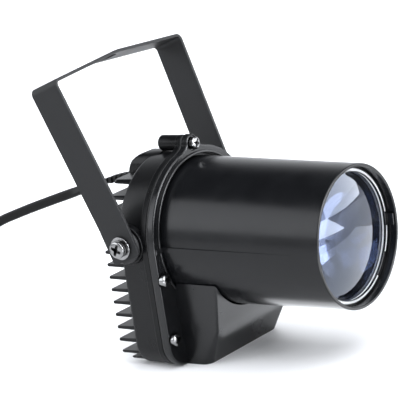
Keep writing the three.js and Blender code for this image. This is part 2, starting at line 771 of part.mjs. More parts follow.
function retainingRing() {
  const outer = lensBore - gap;
  const body = ringAround(retainerInner, outer, retainerBack, retainerFront, barrelHeight);
  const half = retainer.slotWidth / 2;
  const slots = slotArcs.map(([from, to]) => {
    return arcBlock(slotRadius - half, slotRadius + half, from, to, retainerBack - overrun,
      retainerFront + overrun);
  });
  const tab = arcBlock(outer - retainer.tabThickness, outer - gap / 2, ...tabArc, retainerBack,
    retainerFront + retainer.tabHeight);
  return body.subtract(joined(slots)).add(tab);
}

// Light engine
const boardBack = -housing.floor + gap;
const boardFront = boardBack + ledBoard.thickness;
const emitterFront = boardFront + gap + emitter.thickness;
const collimatorBack = emitterFront + gap;
const collimatorFront = collimatorBack + collimator.depth;
const holderRadius = collimator.frontRadius + gap + holder.wall;
const baffleFront = collarBack - gap;
const baffleBack = baffleFront - baffle.thickness;

function ledBoardDisc() {
  const disc = rodY(ledBoard.radius, boardBack, boardFront, 0, axisHeight, roundSides.disc);
  const holes = [1, -1].map((side) => {
    const x = side * ledScrewOut;
    return rodY(boardScrew.shankRadius + gap, boardBack - overrun, boardFront + overrun, x, axisHeight);
  });
  return disc.subtract(joined(holes));
}

function emitterChip() {
  const half = emitter.size / 2;
  return box(-half, half, boardFront + gap, emitterFront, axisHeight - half, axisHeight + half);
}

function collimatorLens() {
  const { backRadius, frontRadius } = collimator;
  const rim = collimatorFront - holder.lipDepth;
  return turned([
    [0, collimatorBack], [backRadius, collimatorBack], [frontRadius, rim], [frontRadius, collimatorFront],
    [0, collimatorFront],
  ], roundSides.disc, 0, axisHeight);
}

// Cup round the collimator: it stands on the board and is cut out for the chip, the screws and the cone
function collimatorHolder() {
  const inner = collimator.frontRadius + gap;
  const back = boardFront + gap;
  const cup = ringAround(inner, holderRadius, back, collimatorFront, axisHeight, roundSides.disc);
  const shelf = turned([
    [inner - holder.wall, collimatorBack + collimator.depth / 2],
    [holderRadius, collimatorBack + collimator.depth / 2],
    [holderRadius, collimatorFront - holder.lipDepth - gap],
    [inner - gap, collimatorFront - holder.lipDepth - gap],
    [inner - holder.wall, collimatorBack + collimator.depth / 2],
  ], roundSides.disc, 0, axisHeight);
  const cone = turned([
    [0, collimatorBack - overrun],
    [collimator.backRadius + gap, collimatorBack - overrun],
    [collimator.backRadius + 2 * gap, collimatorBack],
    [collimator.frontRadius + gap, collimatorFront - holder.lipDepth],
    [0, collimatorFront - holder.lipDepth],
  ], roundSides.disc, 0, axisHeight);
  const heads = [1, -1].map((side) => {
    const depth = boardFront + boardScrew.headHeight + 2 * gap;
    return rodY(boardScrew.headRadius + gap, back - overrun, depth, side * ledScrewOut, axisHeight);
  });
  return cup.add(shelf.subtract(cone)).subtract(joined(heads));
}

function baffleRing() {
  const reach = housingHalf(baffleBack) - housing.wall - 2 * gap;
  const ring = ringAround(holderRadius + gap, reach, baffleBack, baffleFront, axisHeight, roundSides.disc);
  const clear = screwPlaces.slice(1).map(({ x, z }) => {
    return rodY(post.radius + gap, baffleBack - overrun, baffleFront + overrun, x, z);
  });
  const wireWay = box(-driverHalf, driverHalf, baffleBack - overrun, baffleFront + overrun,
    axisHeight - reach, axisHeight - reach + compartment.roof);
  return ring.subtract(joined([...clear, wireWay]));
}

// A screw with a domed head and a cross recess, pointing backward before it is turned
function crossScrew(head, height, shank, length) {
  const { edge, shoulder, shoulderHeight, flat, arm: armShare, slot, floor: floorShare } = screwShares;
  const body = turned([
    [0, -length],
    [shank, -length],
    [shank, 0],
    [head, 0],
    [head, edge * height],
    [shoulder * head, shoulderHeight * height],
    [flat * head, height],
    [0, height],
  ], roundSides.screw, 0, 0);
  const [arm, half] = [armShare * head, slot * head];
  const floor = floorShare * height;
  const cross = joined([
    box(-arm, arm, floor, height + overrun, -half, half),
    box(-half, half, floor, height + overrun, -arm, arm),
  ]);
  return body.subtract(cross);
}

// Driver parts on their board
const boardTop = driver.height + driver.thickness;
const partBase = boardTop + gap;

function driverBoard() {
  const { back, front, height } = driver;
  const plate = box(-driverHalf, driverHalf, back, front, height, boardTop);
  const holes = [1, -1].map((side) => {
    return rodZ(boardScrew.shankRadius + gap, height - overrun, boardTop + overrun, side * driverScrewX,
      driver.screwY);
  });
  return plate.subtract(joined(holes));
}

function transformerBlock() {
  const { y, widthShare, length, headroom, core } = transformer;
  const [x, width] = [sideShares.transformer * driverHalf, widthShare * driverHalf];
  const height = axisHeight - saddle - compartment.roof - headroom - partBase;
  const mid = partBase + height / 2;
  const winding = box(x - width / 2 + gap, x + width / 2 - gap, y - length / 2, y + length / 2, partBase,
    partBase + height - core / 2);
  const yokeCore = box(x - width / 2, x + width / 2, y - core / 2, y + core / 2, partBase, partBase + height);
  const bandHalf = (length - core) / 2;
  const band = box(x - width / 2, x + width / 2, y - bandHalf, y + bandHalf, partBase, mid);
  return joined([winding, yokeCore, band]);
}

function drum({ y, radius, height }, sideShare, crimp) {
  const x = sideShare * driverHalf;
  const can = rodZ(radius, partBase, partBase + height, x, y, roundSides.hole);
  const groove = rodZ(radius + overrun, partBase + crimp, partBase + 2 * crimp, x, y, roundSides.hole);
  const neck = rodZ(radius - crimp / 2, partBase, partBase + 3 * crimp, x, y, roundSides.hole);
  return can.subtract(groove).add(neck);
}

function chokeBobbin() {
  const { y, radius, flange, height } = choke;
  const x = sideShares.choke * driverHalf;
  const rim = (flange - radius) * 2;
  return joined([
    rodZ(flange, partBase, partBase + rim, x, y),
    rodZ(radius, partBase, partBase + height, x, y),
    rodZ(flange, partBase + height - rim, partBase + height, x, y),
  ]);
}

function fuseBody() {
  const { y, radius, lengthShare, lift } = fuse;
  const [x, length] = [sideShares.fuse * driverHalf, lengthShare * driverHalf];
  const z = partBase + lift + radius;
  const half = length / 2;
  const glass = rodX(radius - gap, x - half, x + half, y, z);
  const caps = [1, -1].map((side) => {
    const [a, b] = span(side, half - length / 4, half);
    return rodX(radius, x + a, x + b, y, z);
  });
  const legs = [1, -1].map((side) => {
    const at = x + side * (half - length / 8);
    return rodZ(wire.radius, partBase, z, at, y, roundSides.wire);
  });
  return joined([glass, ...caps, ...legs]);
}

function terminalBlock() {
  const { y, width, length, height, hole } = terminal;
  const x = terminalX;
  const body = box(x - width / 2, x + width / 2, y - length / 2, y + length / 2, partBase, partBase + height);
  const ways = [1, -1].map((side) => {
    return rodZ(hole, partBase + height / 3, partBase + height + overrun, x + (side * width) / 4, y);
  });
  return body.subtract(joined(ways));
}

// A round lead through points, its ends square to its path
function lead(points, radius) {
  const path = new THREE.CatmullRomCurve3(points.map((p) => new THREE.Vector3(...p)));
  const section = new THREE.Shape(arc(0, 0, radius, 0, 360, roundSides.wire).slice(0, -1));
  const steps = wire.stepsPerPoint * points.length;
  return solidOf(new THREE.ExtrudeGeometry(section, { steps, extrudePath: path, bevelEnabled: false }));
}

// Yoke: strap outline in x and the arm's length, drawn out by its width
function yokeOutline() {
  const { thickness, armLength, armSpread, straight, tail, peak, bendRadius, bendSides } = yoke;
  const topX = armOuter + armSpread;
  const half = [];
  const lean = Math.atan2(armSpread, armLength - straight);
  const rise = Math.atan2(peak, topX);
  const outerTurn = { x: topX - bendRadius, z: armLength - bendRadius };
  half.push([armOuter, -tail], [armOuter, straight]);
  const [from, to] = [-lean, Math.PI / 2 - rise];
  const inner = [];
  for (let i = 0; i <= bendSides; i += 1) {
    const angle = from + ((to - from) * i) / bendSides;
    half.push([outerTurn.x + bendRadius * Math.cos(angle), outerTurn.z + bendRadius * Math.sin(angle)]);
    const innerRadius = bendRadius - thickness;
    inner.push([outerTurn.x + innerRadius * Math.cos(angle), outerTurn.z + innerRadius * Math.sin(angle)]);
  }
  const top = armLength + peak;
  const outline = [
    ...half,
    [0, top],
    ...half.map(([x, z]) => [-x, z]).reverse(),
    [-armInner, -tail],
    [-armInner, straight],
    ...inner.map(([x, z]) => [-x, z]),
    [0, top - thickness],
    ...inner.reverse(),
    [armInner, straight],
    [armInner, -tail],
  ];
  return outline.map(([x, z]) => new THREE.Vector2(x, z));
}

function yokeStrap() {
  const { width, tail, tailRadius, armLength, peak, hole } = yoke;
  const strap = alongY(yokeOutline(), -width / 2, width / 2);
  const half = width / 2;
  const face = [
    ...arc(-half + tailRadius, -tail + tailRadius, tailRadius, 180, 270, yoke.bendSides),
    ...arc(half - tailRadius, -tail + tailRadius, tailRadius, 270, 360, yoke.bendSides),
    new THREE.Vector2(half, armLength + peak + overrun),
    new THREE.Vector2(-half, armLength + peak + overrun),
  ];
  const reach = armOuter + yoke.armSpread + overrun;
  const rounded = strap.intersect(alongX(face, -reach, reach));
  const pivots = rodX(pivotScrew.shankRadius + gap, -reach, reach, 0, 0);
  const [low, high] = [armLength - yoke.thickness - overrun, armLength + peak + overrun];
  const mount = rodZ(hole, low, high, 0, 0, roundSides.disc);
  return rounded.subtract(pivots).subtract(mount);
}

// Pivot parts for one side, side 1 is the lamp's right
function ringX(inner, outer, x0, x1, sides = roundSides.disc) {
  const disc = rodX(outer, x0, x1, 0, pivotHeight, sides);
  return disc.subtract(rodX(inner, x0 - overrun, x1 + overrun, 0, pivotHeight));
}

function pivotPieces(side, name) {
  const shankGap = pivotScrew.shankRadius + gap;
  const pinch = ringX(shankGap, friction.radius, ...span(side, padFace + gap, armInner - gap));
  place(`friction_washer_${name}`, pinch, 'rubber');
  const washerIn = armOuter + gap;
  const washerOut = washerIn + washer.thickness;
  place(`pivot_washer_${name}`, ringX(shankGap, washer.radius, ...span(side, washerIn, washerOut)), 'nickel');
  const seat = washerOut + gap;
  const screw = crossScrew(pivotScrew.headRadius, pivotScrew.headHeight, pivotScrew.shankRadius,
    seat - padInner - pivotScrew.endInset);
  const turn = side > 0 ? -90 : 90;
  place(`pivot_screw_${name}`, screw.rotate([0, 0, turn]).translate([side * seat, 0, pivotHeight]), 'nickel');
  const outerFace = padFace - insert.flatGap;
  const reach = span(side, outerFace - insert.length, outerFace);
  const nut = ringX(shankGap, insert.radius, ...reach, roundSides.hole);
  place(`pivot_insert_${name}`, nut, 'brass');
}

// An oval section square to a tangent
function ovalSection(width, height, centre, tangent) {
  const across = new THREE.Vector3(1, 0, 0);
  const up = new THREE.Vector3().crossVectors(across, tangent).normalize();
  const [w, h] = [width / 2, height / 2];
  return ovalShares.map(([a, b]) => {
    return centre.clone().addScaledVector(across, a * w).addScaledVector(up, b * h);
  });
}

// Strain relief: a stem in the hood's channel and a tapered sleeve outside
function strainRelief() {
  const level = new THREE.Vector3(0, -1, 0);
  const stem = { width: channel.width - 2 * gap, height: channel.height - 2 * gap };
  const face = -hood.back - gap;
  const rings = [
    ovalSection(stem.width, stem.height, new THREE.Vector3(0, -housing.floor - gap, channelHeight), level),
    ovalSection(stem.width, stem.height, new THREE.Vector3(0, face, channelHeight), level),
  ];
  for (let i = 0; i <= relief.rings; i += 1) {
    const share = i / relief.rings;
    const [back, sag] = [gap + relief.length * share, relief.drop * share ** 2];
    const centre = new THREE.Vector3(0, face - back, channelHeight - sag);
    const along = new THREE.Vector3(0, -1, (-2 * relief.drop * share) / relief.length).normalize();
    const width = THREE.MathUtils.lerp(relief.rootWidth, relief.tipWidth, share);
    const height = THREE.MathUtils.lerp(relief.rootHeight, relief.tipHeight, share);
    rings.push(ovalSection(width, height, centre, along));
  }
  return loft(rings);
}

// The flat cord's route, along which it turns from lying flat to standing on its edge
class TwistedRoute extends THREE.CatmullRomCurve3 {
  computeFrenetFrames(steps) {
    const frames = super.computeFrenetFrames(steps, false);
    for (let i = 0; i <= steps; i += 1) {
      const behind = -this.getPointAt(i / steps).y;
      const turn = THREE.MathUtils.smoothstep(behind, cord.twistFrom, cord.twistTo);
      const angle = (Math.PI / 2) * (turn - 1);
      frames.normals[i].applyAxisAngle(frames.tangents[i], angle);
      frames.binormals[i].applyAxisAngle(frames.tangents[i], angle);
    }
    return frames;
  }
}

function mainsCord() {
  const [t, h] = [cord.thickness / 2, cord.width / 2];
  const section = new THREE.Shape(ovalShares.map(([a, b]) => new THREE.Vector2(b * t, a * h)));
  const path = new TwistedRoute(cordRoute.map((p) => new THREE.Vector3(...p)));
  const settings = { steps: cord.steps, extrudePath: path, bevelEnabled: false };
  return solidOf(new THREE.ExtrudeGeometry(section, settings));
}

const coilBase = tie.thickness + gap + cord.width / 2;
const layerRise = cord.width + coil.layerGap;

// Middle of the wound cord at a number of turns: it spirals in, climbs a layer and spirals out again
function coilPoint(turns) {
  const middle = coil.turns / 2;
  const away = Math.hypot(turns - middle, coil.soft) - coil.soft;
  const full = Math.hypot(middle, coil.soft) - coil.soft;
  const radius = coil.outer - coil.pitch * (full - away);
  const climbed = THREE.MathUtils.smoothstep(turns, middle - coil.climb / 2, middle + coil.climb / 2);
  const angle = Math.PI + 2 * Math.PI * turns;
  const out = new THREE.Vector3(Math.cos(angle), Math.sin(angle), 0);
  const middlePoint = new THREE.Vector3(coilCentre.x, coilCentre.y, coilBase + layerRise * climbed);
  return { centre: middlePoint.addScaledVector(out, radius), out };
}

function coilRing({ centre, out }) {
  const [t, h] = [cord.thickness / 2, cord.width / 2];
  return coilShares.map(([a, b]) => {
    return centre.clone().addScaledVector(out, a * t).add(new THREE.Vector3(0, 0, b * h));
  });
}

function cordCoil() {
  const count = coil.turns * coil.stepsPerTurn;
  const wound = Array.from({ length: count + 1 }, (unused, i) => coilPoint(i / coil.stepsPerTurn));
  const [first, last] = [wound[0], wound[count]];
  const leadIn = { centre: first.centre.clone().add(new THREE.Vector3(0, coil.leadIn, 0)), out: first.out };
  const leadOut = { centre: last.centre.clone().add(new THREE.Vector3(0, coil.leadOut, 0)), out: last.out };
  const rings = [leadIn, ...wound, leadOut].map(coilRing);
  let least = Infinity;
  for (let i = 0; i < rings.length; i += 1) {
    for (let j = i + coil.stepsPerTurn / 2; j < rings.length; j += 1) {
      for (const a of rings[i]) {
        for (const b of rings[j]) least = Math.min(least, a.distanceTo(b));
      }
    }
  }
  console.log(`cord coil: the least gap between its turns is ${least.toFixed(2)} mm`);
  return loft(rings);
}

function coilTie() {
  const turns = tie.turnShare;
  const angle = Math.PI + 2 * Math.PI * turns;
  const outer = coil.outer - coil.pitch * turns + cord.thickness / 2;
  const loops = Math.floor(coil.turns / 2);
  const inner = outer - coil.pitch * (loops - 1) - cord.thickness;
  const [low, high] = [coilBase - cord.width / 2, coilBase + layerRise + cord.width / 2];
  const [near, far] = [inner - tie.side, outer + tie.side];
  const half = tie.width / 2;
  const band = box(near - tie.thickness, far + tie.thickness, -half, half, low - gap - tie.thickness,
    high + gap + tie.thickness);
  const opening = box(near, far, -half - overrun, half + overrun, low - gap, high + gap);
  const turn = THREE.MathUtils.radToDeg(angle);
  return band.subtract(opening).rotate([0, 0, turn]).translate([coilCentre.x, coilCentre.y, 0]);
}

// Plug beside the coil, its pins pointing forward
const plugX = coilPoint(coil.turns).centre.x;
const plugBack = coilCentre.y + coil.leadOut + gap;
const plugFace = plugBack + plug.length;
const plugMiddle = plug.height / 2;

function plugBody() {
  const half = plug.faceWidth / 2;
  const root = plug.rootWidth / 2;
  const outline = [
    [-root, plugBack], [root, plugBack], [root, plugBack + plug.nose], [half, plugBack + plug.shoulder],
    [half, plugFace], [-half, plugFace], [-half, plugBack + plug.shoulder], [-root, plugBack + plug.nose],
  ].map(([x, y]) => new THREE.Vector2(plugX + x, y));
  const body = alongZ(outline, 0, plug.height);
  const sockets = [1, -1].map((side) => {
    const x = plugX + (side * plug.pinSpacing) / 2;
    return rodY(plug.pinRadius + gap, plugFace - plug.nose, plugFace + overrun, x, plugMiddle);
  });
  return body.subtract(joined(sockets));
}

function plugPin(side) {
  const x = plugX + (side * plug.pinSpacing) / 2;
  const [back, front] = [plugFace - plug.nose + gap, plugFace + plug.pinLength];
  const rounding = plug.pinRadius / 2;
  return turned([
    [0, back], [plug.pinRadius, back], [plug.pinRadius, front - rounding], [rounding, front], [0, front],
  ], roundSides.hole, x, plugMiddle);
}

// Assembly
place('rear_housing', rearHousing(), 'casting');
place('cover_gasket', coverGasket(), 'rubber');
place('front_cover', frontCover(), 'plastic');
place('lens_barrel', lensBarrel(), 'barrel');
place('main_lens', leant(mainLens()), 'glass');
place('lens_gasket', leant(lensGasketRing()), 'silicone');
place('lens_retaining_ring', leant(retainingRing()), 'plastic');

place('led_board', ledBoardDisc(), 'board');
place('led_emitter', emitterChip(), 'phosphor');
place('collimator_lens', collimatorLens(), 'acrylic');
place('collimator_holder', collimatorHolder(), 'plastic');
place('light_baffle', baffleRing(), 'plastic');

place('driver_board', driverBoard(), 'circuit');
place('driver_transformer', transformerBlock(), 'ferrite');
place('input_capacitor', drum(inputCapacitor, sideShares.inputCapacitor, wire.radius), 'sleeve');
place('output_capacitor', drum(outputCapacitor, sideShares.outputCapacitor, wire.radius), 'sleeve');
place('driver_choke', chokeBobbin(), 'copper');
place('driver_fuse', fuseBody(), 'nickel');
place('mains_terminal', terminalBlock(), 'terminal');

for (const { name, x, z } of screwPlaces) {
  const seat = coverFront - coverScrew.recess + gap;
  const screw = crossScrew(coverScrew.headRadius, coverScrew.headHeight, coverScrew.shankRadius,
    cover.thickness + coverScrew.depth - coverScrew.recess);
  place(`cover_screw_${name}`, screw.translate([x, seat, z]), 'nickel');
}

for (const [name, side] of [['right', 1], ['left', -1]]) {
  const screw = () => crossScrew(boardScrew.headRadius, boardScrew.headHeight, boardScrew.shankRadius,
    boardScrew.depth + ledBoard.thickness);
  place(`led_screw_${name}`, screw().translate([side * ledScrewOut, boardFront + gap, axisHeight]), 'nickel');
  const driverScrew = crossScrew(boardScrew.headRadius, boardScrew.headHeight, boardScrew.shankRadius,
    driver.thickness + driver.height - compartment.wall - gap);
  place(`driver_screw_${name}`,
    driverScrew.rotate([90, 0, 0]).translate([side * driverScrewX, driver.screwY, boardTop + gap]), 'nickel');
}

// Wires: shares of the way across, forward and up from their first point to their last
const ledWireShares = [
  [0, 0, 0], [-0.3, 0.38, 0.17], [-0.6, 0.76, 0.42], [-0.3, 0.95, 0.66], [0.5, 1.06, 0.86], [1, 1, 1],
];
const supplyShares = [
  [0, 0, 0], [0.45, 0.3, -0.03], [1.1, 0.44, 0.05], [1.55, 0.47, 0.19], [1.65, 0.47, 0.4], [1.6, 0.47, 0.63],
  [1.35, 0.65, 0.83], [1.1, 0.94, 0.955], [1, 1, 1],
];
const ledWire = { fromShare: 0.37, from: 9, out: 7, drop: 17.6 }; // ends this far below the barrel's axis
const supply = { radius: 1.4, inset: 0.6, rise: 1.6 };

function between(start, end, shares) {
  const way = new THREE.Vector3(...end).sub(new THREE.Vector3(...start));
  return shares.map(([a, b, c]) => [start[0] + a * way.x, start[1] + b * way.y, start[2] + c * way.z]);
}

for (const [name, side, finish] of [['positive', -1, 'redWire'], ['negative', 1, 'blackWire']]) {
  const start = [side * ledWire.fromShare * driverHalf, ledWire.from, partBase + wire.radius];
  const end = [side * ledWire.out, boardFront + gap + wire.radius, axisHeight - ledWire.drop];
  place(`led_wire_${name}`, lead(between(start, end, ledWireShares), wire.radius), finish);
}
const supplyStart = [0, supply.inset, channelHeight];
const supplyEnd = [terminalX, terminal.y, partBase + terminal.height + supply.rise];
place('supply_lead', lead(between(supplyStart, supplyEnd, supplyShares), supply.radius), 'blackWire');

const tilted = new THREE.Group();
tilted.position.z = pivotHeight;
tilted.rotation.x = yoke.tilt;
lamp.add(tilted);
place('yoke', yokeStrap(), 'strap', tilted);
pivotPieces(1, 'right');
pivotPieces(-1, 'left');

place('strain_relief', strainRelief(), 'rubber');
place('mains_cord', mainsCord(), 'cordSheath');
place('cord_coil', cordCoil(), 'cordSheath');
place('coil_tie', coilTie(), 'rubber');
place('plug_body', plugBody(), 'cordSheath');
place('plug_pin_right', plugPin(1), 'nickel');
place('plug_pin_left', plugPin(-1), 'nickel');

export default lamp;
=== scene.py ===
"""Pinspot light: fine meshes, finishes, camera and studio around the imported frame.

Shapes are made in the lamp's own frame, in millimetres: right, forward and up, with the lens looking forward.
The row frame is in metres, with the lens looking along -Y and the lamp's right-hand side along -X.
"""
import json
import math

import bmesh
import bpy
from mathutils import Matrix, Vector


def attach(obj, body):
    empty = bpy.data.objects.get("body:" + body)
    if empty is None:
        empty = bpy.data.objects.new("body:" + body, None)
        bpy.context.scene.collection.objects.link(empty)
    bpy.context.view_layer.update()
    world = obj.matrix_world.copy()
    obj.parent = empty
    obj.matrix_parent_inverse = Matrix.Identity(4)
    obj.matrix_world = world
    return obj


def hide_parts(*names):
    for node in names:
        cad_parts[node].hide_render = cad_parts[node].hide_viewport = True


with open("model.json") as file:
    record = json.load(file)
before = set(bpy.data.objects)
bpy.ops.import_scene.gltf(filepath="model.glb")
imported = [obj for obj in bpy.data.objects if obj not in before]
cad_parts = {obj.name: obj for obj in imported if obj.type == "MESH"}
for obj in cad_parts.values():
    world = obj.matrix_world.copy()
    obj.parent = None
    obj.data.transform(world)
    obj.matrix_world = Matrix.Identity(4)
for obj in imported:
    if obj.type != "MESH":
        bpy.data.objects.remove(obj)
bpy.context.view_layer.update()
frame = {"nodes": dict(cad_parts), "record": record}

MM = 0.001
GAP = 0.3  # between neighbouring pieces
OVER = 1.0  # how far a cutting shape runs past what it cuts
EDGE = 0.3  # rounding of small edges
FINE_EDGE = 0.25
PICTURE = 400  # the photograph's side in pixels
WELD = 1e-7  # metres: points closer than this are one


def row(right, forward, up):
    """A point of the lamp's frame in the row frame, in metres."""
    return Vector((-right * MM, -forward * MM, up * MM))


def linked(name, data):
    """A new object in the scene."""
    thing = bpy.data.objects.new(name, data)
    bpy.context.scene.collection.objects.link(thing)
    return thing


# Camera
SENSOR = 36.0
FOCAL_PIXELS = 2384.2
CAMERA_PLACE = (-1.0142, -0.8256, 0.3919)
CAMERA_RIGHT = Vector((0.5876, -0.7951, -0.1501))
CAMERA_BACK = Vector((-0.7613, -0.6061, 0.2304))


def make_camera():
    data = bpy.data.cameras.new("camera")
    data.sensor_width = SENSOR
    data.lens = FOCAL_PIXELS * SENSOR / PICTURE
    camera = linked("camera", data)
    back = CAMERA_BACK.normalized()
    right = (CAMERA_RIGHT - back * CAMERA_RIGHT.dot(back)).normalized()
    up = back.cross(right)
    turn = Matrix((right, up, back)).transposed().to_4x4()
    camera.matrix_world = Matrix.Translation(CAMERA_PLACE) @ turn
    bpy.context.scene.camera = camera


# Outlines: lists of points in a plane, counter-clockwise when they close
CORNER_STEP = 15  # degrees between the points of a rounded corner
NO_LENGTH = 1e-9
SHARPEST = 0.3  # keeps a sharp corner from moving far out


def arc(x, y, radius, start, end, sides):
    """Points of an arc between two angles in degrees."""
    angles = [math.radians(start + (end - start) * i / sides) for i in range(sides + 1)]
    return [(x + radius * math.cos(a), y + radius * math.sin(a)) for a in angles]


def curve(start, control, end, steps):
    """Points of a quadratic curve, its first point left out."""
    points = []
    for i in range(1, steps + 1):
        t = i / steps
        points.append(tuple((1 - t) ** 2 * a + 2 * t * (1 - t) * b + t * t * c
                            for a, b, c in zip(start, control, end)))
    return points


def rounded(points, closed=True, step=CORNER_STEP):
    """An outline with arcs at the corners whose third value is a radius."""
    made = []
    count = len(points)
    for i, point in enumerate(points):
        if len(point) < 3 or (not closed and i in (0, count - 1)):
            made.append(point[:2])
            continue
        here = Vector(point[:2])
        before = (Vector(points[i - 1][:2]) - here).normalized()
        after = (Vector(points[(i + 1) % count][:2]) - here).normalized()
        half = before.angle(after) / 2
        radius = point[2]
        centre = here + (before + after).normalized() * radius / math.sin(half)
        first = here + before * radius / math.tan(half) - centre
        last = here + after * radius / math.tan(half) - centre
        turn = first.angle_signed(last)
        sides = max(2, math.ceil(abs(math.degrees(turn)) / step))
        for k in range(sides + 1):
            spoke = first.copy()
            spoke.rotate(Matrix.Rotation(-turn * k / sides, 2))
            made.append(tuple(centre + spoke))
    return made


def box(left, low, right, high, radius=0.0, step=CORNER_STEP):
    """An upright rectangle, its corners rounded."""
    corners = [(left, low), (right, low), (right, high), (left, high)]
    return rounded([(*corner, radius) for corner in corners], step=step) if radius else corners


def mirrored(points):
    """The points of the other side, last one first."""
    return [(-x, z) for x, z in reversed(points)]


def inward(outline, distance):
    """A closed outline moved inward by a distance."""
    made = []
    count = len(outline)
    for i, point in enumerate(outline):
        here = Vector(point)
        before = here - Vector(outline[i - 1])
        after = Vector(outline[(i + 1) % count]) - here
        if before.length < NO_LENGTH or after.length < NO_LENGTH:
            before = after = before + after
        a = Vector((-before.y, before.x)).normalized()
        b = Vector((-after.y, after.x)).normalized()
        made.append(tuple(here + (a + b) * distance / max(1 + a.dot(b), SHARPEST)))
    return made


EDGE_STEPS = 4


def edge_levels(low, high, low_round, high_round, steps=EDGE_STEPS):
    """Places along a slab with rounded rims, and how far its outline is drawn in at each."""
    quarter = [math.pi / 2 * i / steps for i in range(steps + 1)]
    levels = [(low + low_round * (1 - math.cos(a)), low_round * (1 - math.sin(a))) for a in quarter]
    levels += [(high - high_round * (1 - math.cos(a)), high_round * (1 - math.sin(a)))
               for a in reversed(quarter)]
    return levels


# Solids
TIP = 1e-4  # radius of a turned solid's end on its axis
TURN_SIDES = 96
HEAD_SIDES = 64
ROD_SIDES = 48
BORE_SIDES = 24


def mesh_object(vertices, faces):
    """A closed mesh from points of the lamp's frame, its faces turned outward."""
    mesh = bpy.data.meshes.new("solid")
    mesh.from_pydata([row(*v) for v in vertices], [], faces)
    shape = bmesh.new()
    shape.from_mesh(mesh)
    bmesh.ops.remove_doubles(shape, verts=shape.verts, dist=WELD)
    bmesh.ops.recalc_face_normals(shape, faces=shape.faces)
    shape.to_mesh(mesh)
    shape.free()
    return linked("solid", mesh)


def loft(rings, closed=False):
    """A solid through rings of points, capped at both ends or closed to a ring itself."""
    count = len(rings[0])
    vertices = [p for ring in rings for p in ring]
    faces = []
    for r in range(len(rings) if closed else len(rings) - 1):
        here, there = r * count, (r + 1) % len(rings) * count
        for i in range(count):
            j = (i + 1) % count
            faces.append((here + i, here + j, there + j, there + i))
    if not closed:
        faces.append(tuple(reversed(range(count))))
        faces.append(tuple(range((len(rings) - 1) * count, len(rings) * count)))
    return mesh_object(vertices, faces)


PLANES = {
    "x": lambda u, v, along: (along, u, v),
    "y": lambda u, v, along: (u, along, v),
    "z": lambda u, v, along: (u, v, along),
}


def slab(outline, low, high, axis="y", low_round=0.0, high_round=0.0):
    """An outline drawn out along an axis, with its two rims rounded."""
    place = PLANES[axis]
    levels = edge_levels(low, high, low_round, high_round)
    if not low_round:
        levels = levels[EDGE_STEPS:]
    if not high_round:
        levels = levels[:-EDGE_STEPS]
    return loft([[place(u, v, along) for u, v in inward(outline, inset)] for along, inset in levels])


def turned(profile, centre, axis="y", sides=TURN_SIDES):
    """A profile of (radius, along) points turned about an axis through a centre."""
    place = PLANES[axis]
    closed = profile[0][0] > 0
    rings = []
    for radius, along in profile:
        ring = arc(*centre, max(radius, TIP), 0, 360, sides)[:-1]
        rings.append([place(u, v, along) for u, v in ring])
    return loft(rings, closed=closed)


def spindle(points, centre, axis="y", sides=ROD_SIDES):
    """A profile that is closed to the axis at both ends, turned about it."""
    return turned([(0, points[0][1]), *points, (0, points[-1][1])], centre, axis, sides)


def rod(radius, low, high, centre, axis="y", sides=ROD_SIDES, low_round=0.0, high_round=0.0):
    levels = edge_levels(low, high, low_round, high_round)
    return spindle([(radius - inset, along) for along, inset in levels], centre, axis, sides)


def combine(target, operation, pieces):
    """Joins or cuts a solid with others, which are used up."""
    for piece in pieces:
        step = target.modifiers.new("combine", "BOOLEAN")
        step.operation = operation
        step.solver = "MANIFOLD"
        step.object = piece
    settle(target)
    for piece in pieces:
        mesh = piece.data
        bpy.data.objects.remove(piece)
        bpy.data.meshes.remove(mesh)
    return target


def settle(thing):
    """Puts an object's modifiers into its mesh."""
    graph = bpy.context.evaluated_depsgraph_get()
    made = bpy.data.meshes.new_from_object(thing.evaluated_get(graph))
    old = thing.data
    thing.modifiers.clear()
    thing.data = made
    bpy.data.meshes.remove(old)


def joined(first, *others):
    return combine(first, "UNION", others)


def cut(target, *cutters):
    return combine(target, "DIFFERENCE", cutters)


def common(target, other):
    return combine(target, "INTERSECT", [other])


SIDES = (("right", 1), ("left", -1))


def both(make):
    """What a function makes for the lamp's right side, 1, and its left side, -1."""
    return [make(1), make(-1)]


def span(side, inner, outer):
    return (inner, outer) if side > 0 else (-outer, -inner)


def spin(degrees, axis):
    return Matrix.Rotation(math.radians(degrees), 4, axis)


def moved(thing, turn, right, forward, up):
    """Turns a solid by a matrix and puts it in its place in the lamp's frame."""
    thing.data.transform(Matrix.Translation(row(right, forward, up)) @ turn)
    return thing


SHARP = 32  # degrees: edges that bend more than this are shaded as edges
EVEN_WEIGHT = 60  # of large faces in the shading


def finished(thing, name, slot, body="lamp", nodes=None, sharp=SHARP):
    """Shades a piece, names it and puts it in the place of its CAD node."""
    thing.name = name + "_fine"
    thing.data.name = thing.name
    thing.data.shade_smooth()
    thing.data.set_sharp_from_angle(angle=math.radians(sharp))
    even = thing.modifiers.new("even", "WEIGHTED_NORMAL")
    even.keep_sharp = True
    even.weight = EVEN_WEIGHT
    settle(thing)
    thing.data.materials.clear()
    thing.data.materials.append(MATERIALS[slot])
    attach(thing, body)
    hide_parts(*(nodes or [name]))
    return thing


